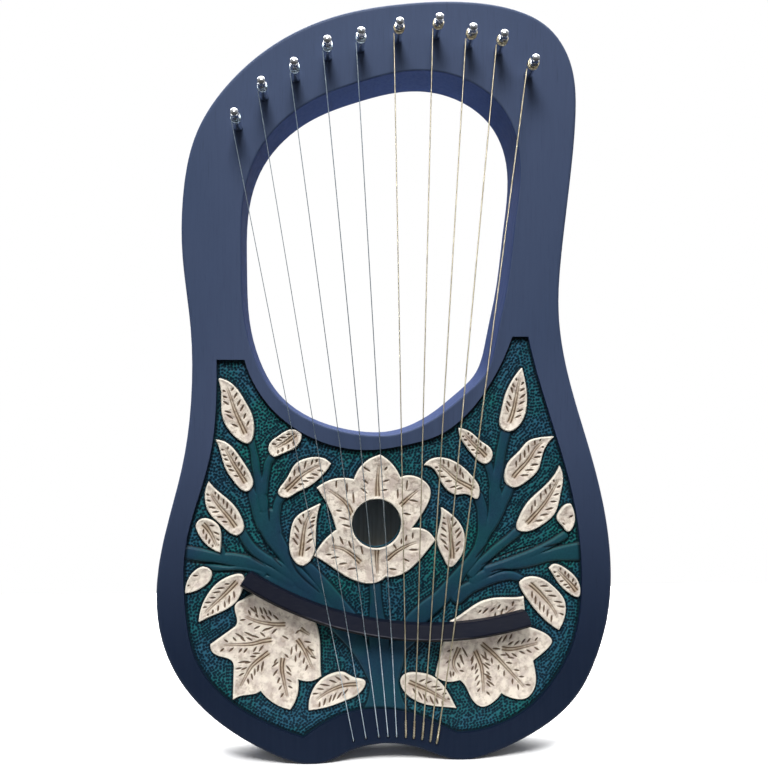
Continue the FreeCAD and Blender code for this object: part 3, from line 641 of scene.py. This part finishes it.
def leaf_axis(loop):
    """A simple leaf's rib, from stem to tip, with half the leaf's width at each point."""
    into = loop - np.roll(loop, 1, axis=0)
    out = np.roll(loop, -1, axis=0) - loop
    turn = np.abs(np.angle((out[:, 0] + 1j * out[:, 1]) / (into[:, 0] + 1j * into[:, 1])))
    tip = loop[turn.argmax()]
    stem = loop[np.hypot(*(loop - tip).T).argmax()]
    length = math.hypot(*(tip - stem))
    ahead = (tip - stem) / length
    side = np.array([-ahead[1], ahead[0]])
    u, v = (loop - stem) @ ahead, (loop - stem) @ side
    line = []
    for place in np.linspace(0.1, 0.88, 9) * length:
        hit = (u > place) != (np.roll(u, -1) > place)
        share = (place - u[hit]) / (np.roll(u, -1)[hit] - u[hit])
        crossing = v[hit] + share * (np.roll(v, -1)[hit] - v[hit])
        middle, half = (crossing.max() + crossing.min()) / 2, (crossing.max() - crossing.min()) / 2
        line.append([*(stem + ahead * place + side * middle), half])
    line = np.array(line)
    line[1:-1, :2] = (line[:-2, :2] + 2 * line[1:-1, :2] + line[2:, :2]) / 4
    return line, length


def leaf_cuts(line, length):
    """Slanted knife cuts on both sides of a leaf's rib."""
    cuts = []
    count = int(np.clip(round(length / 5.2), 2, 6))
    for side in (-1, 1):
        for place in np.linspace(0.2, 0.86, count) + side * 0.03 + RANDOM.uniform(-0.02, 0.02, count):
            index = place * (len(line) - 1)
            x, z, half = (np.interp(index, np.arange(len(line)), line[:, k]) for k in range(3))
            nearest = int(min(index, len(line) - 2))
            ahead = line[nearest + 1, :2] - line[nearest, :2]
            ahead /= math.hypot(*ahead)
            across = side * np.array([-ahead[1], ahead[0]])
            start = np.array([x, z]) + across * half * RANDOM.uniform(0.3, 0.4)
            end = start + across * half * RANDOM.uniform(0.3, 0.42) + ahead * half * RANDOM.uniform(0.3, 0.5)
            cuts.append([start, end])
    return cuts


def side_veins(ribs, loops):
    """Slanted knife cuts along the ribs of a lobed carving, kept clear of its rim."""
    cuts = []
    for rib in ribs:
        line = smooth_line(rib, 2.0)
        length = np.hypot(*np.diff(line, axis=0).T).sum()
        if length > 10:
            half = np.linspace(VEIN_SPAN, 0.6 * VEIN_SPAN, len(line))
            cuts += leaf_cuts(np.column_stack([line, half]), length)
    return [cut for cut in cuts if nearest_on(loops, np.array(cut))[1].min() > 1.5]


def carver(ribs, cuts, seed):
    """The carve function of one leaf or flower."""
    phases = np.random.default_rng(seed).uniform(0, 2 * math.pi, 4)

    def carve(points, gaps):
        reach = min(gaps.max(), DISH_REACH)
        rim = np.clip(1 - gaps / RIM_ROUND, 0, 1)
        drop = RIM_ROUND * (1 - np.sqrt(1 - rim ** 2))
        share = np.clip((gaps - 0.3) / reach, 0, 1)
        dish = DISH_DEPTH * share * (1.35 - 0.35 * share) * min(1, reach / 6)
        inner = ease((gaps - 0.5) / 0.9)
        groove = np.zeros(len(points))
        shade = np.zeros(len(points))
        for rib in ribs:
            line = smooth_line(rib, 1.0)
            gap, place = along_line(line, points)
            share = place / (len(line) - 1)
            taper = ease(share / 0.08) * (1 - 0.6 * share) * ease((1 - share) / 0.12)
            spread = RIB_SPREAD * (1.25 - 0.7 * share)
            groove = np.maximum(groove, taper * np.exp(-((gap - spread) / RIB_GROOVE) ** 2))
            shade = np.maximum(shade, taper * np.exp(-(gap / (2.6 * spread)) ** 2))
        slit = np.zeros(len(points))
        for cut in cuts:
            line = smooth_line(cut, 1.0)
            gap, place = along_line(line, points)
            share = place / (len(line) - 1)
            width = CUT_WIDTH / 2 * np.sqrt(np.clip(np.sin(math.pi * np.clip(share, 0.04, 0.96)), 0, 1))
            slit = np.maximum(slit, np.clip(1 - (gap / width) ** 2, 0, 1))
        x, z = points.T
        ripple = (np.sin(1.7 * x + 0.9 * z + phases[0]) * np.sin(1.3 * z - 0.8 * x + phases[1])
                  + 0.6 * np.sin(3.1 * x - 2.2 * z + phases[2]) * np.sin(2.7 * z + 1.9 * x + phases[3]))
        lost = drop + dish + inner * (RIB_DEPTH * groove + CUT_DEPTH * slit) + 0.035 * inner * (1 + ripple)
        # rim carries a painted highlight along the carving's rim, and shade carries painted shade beside the
        # ribs
        return CARVING_FRONT + lost, {"wash": inner * np.maximum(0.9 * groove, slit), "shade": inner * shade,
                                      "rim": ease((RIM_HIGHLIGHT_WIDTH + 0.5 - gaps) / RIM_HIGHLIGHT_WIDTH)}

    return carve


def make_carvings():
    for seed, node in enumerate(sorted(CARVINGS)):
        loops = front_loops(node)
        if node in RIBS:
            ribs, cuts = RIBS[node], CUTS[node]
            if "maple" in node:
                cuts = cuts + side_veins(ribs, loops)
        else:
            line, length = leaf_axis(loops[0])
            ribs = [line[:, :2]] if length > 19 else []
            cuts = leaf_cuts(line, length) if length > 19 else leaf_cuts(line, length)[1:4:2]
        piece = relief(f"carved_{node}", loops, CARVING_CELL, carver(ribs, cuts, seed), BOARD_FRONT)
        dress(piece, "body", [node], paint["carving"])


# ---------------------------------------------------------------- strings and coils


def pin_frame(joint):
    """A tuning pin's foot on the front face, its axis, and the two directions across it."""
    base = Vector(joint["pos_m"]) / MM
    axis = Vector(joint["axis"]).normalized()
    across = Vector((1, 0, 0))
    return base, axis, across, axis.cross(across)


def string_route(hole, joint, diameter):
    """The string's corners: ball, hole, bridge crest, and its end just short of the pin's turns."""
    base, axis, _, _ = pin_frame(joint)
    centre = base + axis * COIL_HEIGHT
    along = Vector((centre.x - hole[0], 0, centre.z - hole[1])).normalized()
    left = Vector((-along.z, 0, along.x))
    touch = PIN_RADIUS + diameter / 2
    clear = PIN_RADIUS + diameter + COIL_GAP
    end = centre + left * touch - along * math.sqrt(clear ** 2 - PIN_RADIUS ** 2)
    start = Vector((hole[0], FRONT - ABOVE_WOOD, hole[1]))
    flat = Vector((end.x - start.x, end.z - start.z)).normalized()
    offset = Vector((start.x - BRIDGE_CENTRE[0], start.z - BRIDGE_CENTRE[1]))
    middle = offset.dot(flat)
    root = math.sqrt(middle ** 2 - offset.length_squared + BRIDGE_CREST_RADIUS ** 2)
    reach = -middle - root if -middle - root > 0 else -middle + root
    over = Vector((start.x + flat.x * reach, FRONT - BRIDGE_CREST - diameter / 2 - 0.03,
                   start.z + flat.y * reach))
    return [Vector((hole[0], BACK - BALL_DEPTH, hole[1])), start, over, end]


def bent(route, radii, steps=8):
    """The route with each inner corner rounded to an arc."""
    points = [route[0]]
    for before, corner, after, radius in zip(route, route[1:], route[2:], radii):
        back, ahead = (before - corner).normalized(), (after - corner).normalized()
        half = back.angle(ahead) / 2
        reach = radius / math.tan(half)
        inward = (back + ahead).normalized()
        centre = corner + inward * radius / math.sin(half)
        start = (corner + back * reach - centre).normalized()
        end = (corner + ahead * reach - centre).normalized()
        points += [centre + radius * start.slerp(end, step / steps) for step in range(steps + 1)]
    return points + [route[-1]]


def lathe(spots, faces, centre, axis, profile, sides=20):
    """Adds a turned shape: profile is (distance along the axis, radius)."""
    path = [centre + axis * along for along, _ in profile]
    tube(path, [radius for _, radius in profile], sides, spots, faces)


def make_string(number, hole, joint, diameter):
    route = string_route(hole, joint, diameter)
    path = bent(route, (0.8, 8.0))
    spots, faces = tube(path, diameter / 2, 10)
    ball = [(-1.5, 0.7), (-1.45, 1.3), (-1.2, 1.55), (-0.5, 1.6), (-0.3, 1.42), (0.3, 1.42), (0.5, 1.6),
            (1.2, 1.55), (1.45, 1.3), (1.5, 0.7)]
    lathe(spots, faces, route[0], Vector((1, 0, 0)), ball)
    if number >= FIRST_WOUND:
        add_twist(spots, faces, path, diameter)
    piece = tube_piece(f"string_wire_{number}", spots, faces)
    wound = number >= FIRST_WOUND
    dress(piece, "body", [f"string_{number}"],
          paint["bronze" if wound else "steel"])


def add_twist(spots, faces, path, diameter):
    """The ball end's tail, wound round the string just above its hole."""
    start, ahead = path[9], (path[10] - path[9]).normalized()
    side = ahead.orthogonal().normalized()
    other = ahead.cross(side)
    core, length, turns, steps = 0.2, 9.5, 15, 14
    radius = diameter / 2 + 0.6 * core
    helix = []
    for step in range(turns * steps + 1):
        share = step / (turns * steps)
        angle = 2 * math.pi * turns * share
        helix.append(start + ahead * (0.3 + length * share)
                     + radius * (math.cos(angle) * side + math.sin(angle) * other))
    tube(helix, core, 6, spots, faces)


def make_coil(number, joint, diameter):
    """The turns round a tuning pin, and the end that goes into its eye."""
    base, axis, across, up = pin_frame(joint)
    radius = PIN_RADIUS + diameter / 2
    steps = 32
    path = []
    for step in range(int(COIL_TURNS * steps) + 1):
        angle = math.pi - 2 * math.pi * step / steps
        path.append(base + axis * (COIL_HEIGHT + diameter * step / steps)
                    + radius * (math.cos(angle) * across + math.sin(angle) * up))
    top = COIL_HEIGHT + COIL_TURNS * diameter
    lead = 24
    for step in range(1, lead + 1):
        share = step / lead
        angle = math.pi - 1.5 * math.pi * share
        climb = (EYE_HEIGHT - top) * (share ** 2 * (3 - 2 * share))
        path.append(base + axis * (top + climb) + radius * (math.cos(angle) * across + math.sin(angle) * up))
    for depth in (1.9, 1.2):
        path.append(base + axis * EYE_HEIGHT - up * depth)
    spots, faces = tube(path, diameter / 2, 10)
    piece = tube_piece(f"string_turns_{number}", spots, faces)
    wound = number >= FIRST_WOUND
    dress(piece, f"pin_{number}", [f"string_coil_{number}"],
          paint["bronze" if wound else "steel"])


# ---------------------------------------------------------------- materials


class Paint:
    """A material, with short calls that add nodes to it."""

    def __init__(self, name, **settings):
        self.material = bpy.data.materials.new(name)
        self.material.use_nodes = True
        self.nodes = self.material.node_tree.nodes
        self.links = self.material.node_tree.links
        self.shader = self.nodes["Principled BSDF"]
        self.set(self.shader, **settings)
        self.place = self.nodes.new("ShaderNodeTexCoord").outputs["Object"]

    def set(self, node, **sockets):
        for name, value in sockets.items():
            socket = node.inputs[name.replace("_", " ")]
            if isinstance(value, bpy.types.NodeSocket):
                self.links.new(value, socket)
            else:
                socket.default_value = value

    def noise(self, scale, detail=3.0, stretch=(1, 1, 1), roughness=0.55):
        """Smooth noise with this many features to a metre, stretched along some axes."""
        mapping = self.nodes.new("ShaderNodeMapping")
        mapping.inputs["Scale"].default_value = stretch
        self.links.new(self.place, mapping.inputs["Vector"])
        noise = self.nodes.new("ShaderNodeTexNoise")
        self.set(noise, Vector=mapping.outputs["Vector"], Scale=scale, Detail=detail, Roughness=roughness)
        return noise.outputs["Fac"]

    def wave(self, scale, direction):
        """Even bands across one axis."""
        wave = self.nodes.new("ShaderNodeTexWave")
        wave.bands_direction = direction
        self.set(wave, Vector=self.place, Scale=scale)
        return wave.outputs["Fac"]

    def part(self, kind, output, axis):
        """One axis of a vector that a node gives."""
        split = self.nodes.new("ShaderNodeSeparateXYZ")
        self.links.new(self.nodes.new(kind).outputs[output], split.inputs["Vector"])
        return split.outputs[axis]

    def offset(self, shift, keep):
        """Each point's distance from a place, along the axes that are kept. shift is minus that place."""
        vector = self.place
        for operation, amount in (("ADD", shift), ("MULTIPLY", keep)):
            node = self.nodes.new("ShaderNodeVectorMath")
            node.operation = operation
            self.links.new(vector, node.inputs[0])
            node.inputs[1].default_value = amount
            vector = node.outputs["Vector"]
        length = self.nodes.new("ShaderNodeVectorMath")
        length.operation = "LENGTH"
        self.links.new(vector, length.inputs[0])
        return length.outputs["Value"]

    def value(self, label):
        """A value that the mesh carries at each point."""
        node = self.nodes.new("ShaderNodeAttribute")
        node.attribute_name = label
        return node.outputs["Fac"]

    def ramp(self, factor, low, high, start=0.0, end=1.0):
        """The factor, brought from the range low..high to the range start..end."""
        node = self.nodes.new("ShaderNodeMapRange")
        node.interpolation_type = "SMOOTHSTEP"
        for name, value in (("Value", factor), ("From Min", low), ("From Max", high), ("To Min", start),
                            ("To Max", end)):
            self.set(node, **{name: value})
        return node.outputs["Result"]

    def math(self, operation, first, second):
        node = self.nodes.new("ShaderNodeMath")
        node.operation = operation
        for socket, value in zip(node.inputs, (first, second)):
            if isinstance(value, bpy.types.NodeSocket):
                self.links.new(value, socket)
            else:
                socket.default_value = value
        return node.outputs["Value"]

    def mix(self, factor, first, second):
        """From the first colour to the second. A colour is (red, green, blue), as seen on a screen."""
        node = self.nodes.new("ShaderNodeMix")
        node.data_type = "RGBA"
        sockets = [s for s in node.inputs if s.enabled or s.type == "RGBA"]
        colours = [s for s in sockets if s.type == "RGBA"]
        factors = [s for s in node.inputs if s.type == "VALUE"]
        for socket, value in ((factors[0], factor), (colours[0], first), (colours[1], second)):
            if isinstance(value, bpy.types.NodeSocket):
                self.links.new(value, socket)
            else:
                socket.default_value = value if isinstance(value, (int, float)) else linear(value)
        return next(s for s in node.outputs if s.type == "RGBA")

    def bump(self, height, distance, strength=1.0, after=None):
        node = self.nodes.new("ShaderNodeBump")
        self.set(node, Height=height, Distance=distance, Strength=strength)
        if after is not None:
            self.links.new(after, node.inputs["Normal"])
        return node.outputs["Normal"]


def linear(colour):
    """A screen colour, 0 to 255, as the linear values that a shader takes."""
    shares = [c / 255 for c in colour]
    return [s / 12.92 if s <= 0.04045 else ((s + 0.055) / 1.055) ** 2.4 for s in shares] + [1.0]


def stained_wood(name, light, dark, side, foot):
    """Blue-black stain, denser towards the foot and bluer on the sides, over close straight grain."""
    wood = Paint(name, Specular_IOR_Level=0.06)
    grain = wood.noise(90, 5, (6, 6, 0.35), 0.6)
    pores = wood.noise(420, 2, (5, 5, 0.18), 0.5)
    cloud = wood.noise(11, 2, (1, 1, 0.6))
    outward = wood.part("ShaderNodeNewGeometry", "Normal", "Y")
    height = wood.part("ShaderNodeTexCoord", "Object", "Z")
    colour = wood.mix(wood.ramp(cloud, 0.3, 0.7), dark, light)
    colour = wood.mix(wood.ramp(wood.math("ABSOLUTE", outward, 0), 0.8, 0.3), colour, side)
    colour = wood.mix(wood.ramp(height, 0.21, 0.03, 0, 0.97), colour, foot)
    colour = wood.mix(wood.ramp(grain, 0.35, 0.75, 0, 0.12), colour, [c * 0.7 for c in dark])
    colour = wood.mix(wood.ramp(pores, 0.58, 0.75, 0, 0.18), colour, [c * 0.45 for c in dark])
    wood.set(wood.shader, Base_Color=colour, Roughness=wood.ramp(grain, 0.3, 0.8, 0.42, 0.55),
             Normal=wood.bump(pores, 0.00005, 0.3, wood.bump(grain, 0.00006, 0.3)))
    return wood.material


def plate_wood():
    """The back plate: stained outside, bare and grey-brown on the face inside the chamber."""
    wood = Paint("stained_back_wood", Specular_IOR_Level=0.15, Roughness=0.5)
    grain = wood.noise(90, 5, (6, 6, 0.35), 0.6)
    inner = wood.ramp(wood.part("ShaderNodeNewGeometry", "Normal", "Y"), -0.6, -0.9)
    stained = wood.mix(wood.ramp(grain, 0.35, 0.75), (58, 68, 96), (44, 52, 76))
    bare = wood.mix(wood.ramp(grain, 0.35, 0.75), (176, 192, 204), (148, 164, 176))
    wood.set(wood.shader, Base_Color=wood.mix(inner, stained, bare), Normal=wood.bump(grain, 0.00006, 0.3))
    return wood.material


def soundboard_paint():
    """Teal and blue glaze: branches plain, ground darker, with painted shade that makes the pits and
    outlines nearly black.
    """
    board = Paint("carved_soundboard_glaze", Specular_IOR_Level=0.12)
    cloud = board.ramp(board.noise(38, 3), 0.42, 0.6)
    tint = board.ramp(board.noise(21, 2), 0.5, 0.66)
    fine = board.noise(900, 3)
    ground = board.mix(cloud, (30, 92, 100), (40, 88, 110))
    ground = board.mix(board.math("MULTIPLY", tint, 0.7), ground, (24, 106, 98))
    branch = board.mix(cloud, (24, 62, 76), (26, 56, 76))
    branch = board.mix(board.math("MULTIPLY", tint, 0.6), branch, (20, 68, 74))
    colour = board.mix(board.value("branch"), ground, branch)
    # painted shade in the punched pits
    colour = board.mix(board.ramp(board.value("pit"), 0.0, 0.4, 0, 0.95), colour, (3, 24, 38))
    # painted shade round the carvings, beside the branches, in the knife lines and along the window's edge
    colour = board.mix(board.ramp(board.value("line"), 0.15, 0.9, 0, 0.88), colour, (2, 12, 22))
    colour = board.mix(board.ramp(fine, 0.35, 0.75, 0, 0.25), colour, (12, 34, 46))
    board.set(board.shader, Base_Color=colour, Roughness=board.ramp(fine, 0.3, 0.7, 0.42, 0.6),
              Normal=board.bump(fine, 0.00005, 0.5))
    return board.material


def carving_paint():
    """Cream paint with a painted highlight on the rims and painted shade beside the ribs, rubbed with brown,
    which stays in the cuts.
    """
    leaf = Paint("cream_carving_paint", Specular_IOR_Level=0.3)
    patch = leaf.ramp(leaf.noise(160, 4), 0.4, 0.65)
    rubbed = leaf.ramp(leaf.noise(420, 4), 0.48, 0.66)
    fine = leaf.noise(1500, 3)
    colour = leaf.mix(patch, (226, 216, 202), (192, 178, 168))
    colour = leaf.mix(leaf.math("MULTIPLY", rubbed, 0.45), colour, (146, 128, 110))
    # painted shade beside the ribs
    colour = leaf.mix(leaf.ramp(leaf.value("shade"), 0.1, 0.9, 0, 0.6), colour, (140, 116, 82))
    # painted highlight along the rims
    colour = leaf.mix(leaf.ramp(leaf.value("rim"), 0.0, 1.0, 0, 0.75), colour, (228, 222, 208))
    colour = leaf.mix(leaf.ramp(leaf.value("wash"), 0.08, 0.7, 0, 0.92), colour, (84, 62, 40))
    colour = leaf.mix(leaf.ramp(fine, 0.55, 0.8, 0, 0.3), colour, (160, 142, 122))
    wear_and_highlight = leaf.bump(rubbed, 0.0002, 0.8, leaf.bump(patch, 0.0003, 0.6))
    leaf.set(leaf.shader, Base_Color=colour, Roughness=leaf.ramp(fine, 0.3, 0.7, 0.45, 0.65),
             Normal=leaf.bump(fine, 0.00005, 0.6, wear_and_highlight))
    return leaf.material


def lacquer():
    """Black satin lacquer of the bridge, with a painted highlight as a lighter line along the middle of its
    crest and painted shade on the slope below it.
    """
    black = Paint("black_bridge_lacquer", Specular_IOR_Level=0.1)
    brushed = black.noise(300, 3, (0.4, 4, 4))
    cloud = black.noise(30, 2)
    colour = black.mix(black.ramp(cloud, 0.35, 0.65), (10, 16, 32), (14, 17, 30))
    colour = black.mix(black.ramp(brushed, 0.5, 0.8, 0, 0.3), colour, (36, 38, 46))
    radius = black.offset((-BRIDGE_CENTRE[0] * MM, 0, -BRIDGE_CENTRE[1] * MM), (1, 0, 1))
    below = black.math("SUBTRACT", radius, BRIDGE_CREST_RADIUS * MM)
    aside = black.math("ABSOLUTE", black.part("ShaderNodeTexCoord", "Object", "X"), 0)
    # painted highlight: a thin lighter line along the crest, faded out towards the bridge's ends
    wear_and_highlight = black.math("MULTIPLY", black.ramp(black.math("ABSOLUTE", below, 0), 0.0005, 0.0001),
                      black.ramp(aside, 0.052, 0.034))
    # painted shade on the lower slope, below the crest
    colour = black.mix(black.ramp(below, 0.0001, 0.0006, 0, 0.8), colour, (2, 4, 10))
    # the painted highlight's colour along the crest, broken up by the brushing
    colour = black.mix(black.math("MULTIPLY", wear_and_highlight, black.ramp(brushed, 0.25, 0.6, 0.2, 0.8)), colour,
                       (96, 96, 104))
    black.set(black.shader, Base_Color=colour, Roughness=black.ramp(brushed, 0.3, 0.7, 0.34, 0.5),
              Normal=black.bump(brushed, 0.00004, 0.5))
    return black.material


def spruce():
    """Plain unstained brace wood."""
    wood = Paint("brace_spruce", Roughness=0.7)
    grain = wood.noise(120, 4, (0.3, 7, 7))
    wood.set(wood.shader, Base_Color=wood.mix(wood.ramp(grain, 0.35, 0.7), (206, 174, 128), (176, 138, 92)),
             Normal=wood.bump(grain, 0.00008, 0.5))
    return wood.material


def metal(name, light, dark, roughness, thread=None):
    """Bright wire or plating, a little uneven. thread is the pitch of a winding, in millimetres."""
    shiny = Paint(name, Metallic=1.0, Roughness=roughness)
    cloud = shiny.noise(260, 3)
    fine = shiny.noise(2600, 2)
    colour = shiny.mix(shiny.ramp(cloud, 0.35, 0.7), light, dark)
    normal = shiny.bump(fine, 0.00002, 0.3)
    if thread is not None:
        ridge = shiny.wave(math.pi / (10 * thread * MM), "Z")
        # painted shade in the grooves between the winding's turns
        colour = shiny.mix(shiny.ramp(ridge, 0.0, 0.6, 0.5, 0), colour, [c * 0.5 for c in dark])
        normal = shiny.bump(ridge, 0.00008, 0.8, normal)
    shiny.set(shiny.shader, Base_Color=colour, Normal=normal,
              Roughness=shiny.ramp(fine, 0.3, 0.7, roughness - 0.05, roughness + 0.08))
    return shiny.material


def dress(piece, body, nodes, material):
    """Puts a new piece on its body, in place of its CAD nodes, with its material."""
    piece.data.materials.clear()
    piece.data.materials.append(material)
    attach(piece, body)
    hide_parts(*nodes)


def repaint(node, material):
    """Gives a CAD node that stays its material."""
    target = frame["nodes"][node]
    if not target.material_slots:
        target.data.materials.append(material)
    for entry in target.material_slots:
        entry.material = material


paint = {
    "frame": stained_wood("stained_frame_wood", (62, 73, 98), (57, 69, 94), (46, 62, 104), (14, 25, 43)),
    "back": plate_wood(),
    "soundboard": soundboard_paint(),
    "carving": carving_paint(),
    "bridge": lacquer(),
    "brace": spruce(),
    "pin": metal("nickel_plate", (228, 230, 234), (200, 204, 212), 0.16),
    "steel": metal("plain_steel", (192, 206, 216), (152, 172, 186), 0.3),
    "bronze": metal("bronze_winding", (206, 198, 172), (174, 162, 134), 0.34, 0.45),
}

# ---------------------------------------------------------------- build

make_soundboard()
make_carvings()
courses = zip(frame["joints"], STRING_HOLES, STRING_DIAMETERS)
for number, (joint, hole, diameter) in enumerate(courses, start=1):
    make_string(number, hole, joint, diameter)
    make_coil(number, joint, diameter)
    repaint(f"tuning_pin_{number}", paint["pin"])
repaint("frame", paint["frame"])
repaint("back_plate", paint["back"])
repaint("bridge", paint["bridge"])
for node in ("soundboard_brace_upper", "soundboard_brace_lower", "back_brace"):
    repaint(node, paint["brace"])

# ---------------------------------------------------------------- stage


def plain(name, colour, roughness):
    surface = Paint(name, Roughness=roughness)
    surface.set(surface.shader, Base_Color=surface.mix(surface.ramp(surface.noise(6, 2), 0.3, 0.7), colour,
                                                       [c * 0.985 for c in colour]))
    return surface.material


def make_floor():
    """A pale floor: it starts just in front of the instrument and runs a short way behind it."""
    mesh = bpy.data.meshes.new("floor")
    side, near, far = 1.5, -0.08, 0.4
    corners = [(-side, near, 0), (side, near, 0), (side, far, 0), (-side, far, 0)]
    mesh.from_pydata(corners, [], [(0, 1, 2, 3)])
    floor = bpy.data.objects.new("floor", mesh)
    bpy.context.scene.collection.objects.link(floor)
    mesh.materials.append(plain("pale_floor", (252, 252, 252), 0.9))


def make_light(name, spot, aim, size, power, spread=180):
    data = bpy.data.lights.new(name, "AREA")
    data.shape = "DISK"
    data.size = size
    data.energy = power
    data.spread = math.radians(spread)
    light = bpy.data.objects.new(name, data)
    light.location = spot
    light.rotation_euler = (Vector(aim) - Vector(spot)).to_track_quat("-Z", "Y").to_euler()
    bpy.context.scene.collection.objects.link(light)


def make_camera():
    """A little left of the middle, level, half a metre in front."""
    data = bpy.data.cameras.new("camera")
    data.sensor_width = 36
    data.lens = 40.08
    camera = bpy.data.objects.new("camera", data)
    front = FRONT * MM
    camera.location = (-0.0341, front - 0.4839, 0.2147)
    aim = Vector((-0.00198, front, 0.2147))
    camera.rotation_euler = (aim - camera.location).to_track_quat("-Z", "Y").to_euler()
    bpy.context.scene.collection.objects.link(camera)
    bpy.context.scene.camera = camera


def make_world():
    """White behind the instrument, and a dimmer room round it that is brightest overhead."""
    world = bpy.data.worlds.new("studio")
    world.use_nodes = True
    nodes, links = world.node_tree.nodes, world.node_tree.links
    backdrop = nodes["Background"]
    backdrop.inputs["Color"].default_value = (1, 1, 1, 1)
    split = nodes.new("ShaderNodeSeparateXYZ")
    links.new(nodes.new("ShaderNodeTexCoord").outputs["Generated"], split.inputs["Vector"])
    room = nodes.new("ShaderNodeMapRange")
    links.new(split.outputs["Z"], room.inputs["Value"])
    for name, value in (("From Min", -0.3), ("From Max", 1.0), ("To Min", 0.08), ("To Max", 0.6)):
        room.inputs[name].default_value = value
    choose = nodes.new("ShaderNodeMix")
    links.new(nodes.new("ShaderNodeLightPath").outputs["Is Camera Ray"], choose.inputs["Factor"])
    links.new(room.outputs["Result"], choose.inputs["A"])
    choose.inputs["B"].default_value = 1.0
    links.new(choose.outputs["Result"], backdrop.inputs["Strength"])
    bpy.context.scene.world = world
    bpy.context.scene.view_settings.view_transform = "Standard"


make_floor()
make_light("key", (-0.12, -0.8, 1.3), (0, 0, 0.22), 0.6, 3.5, 60)
make_light("floor_light", (0, 1.0, 1.15), (0, 1.0, 0), 2.0, 44, 130)
make_camera()
make_world()
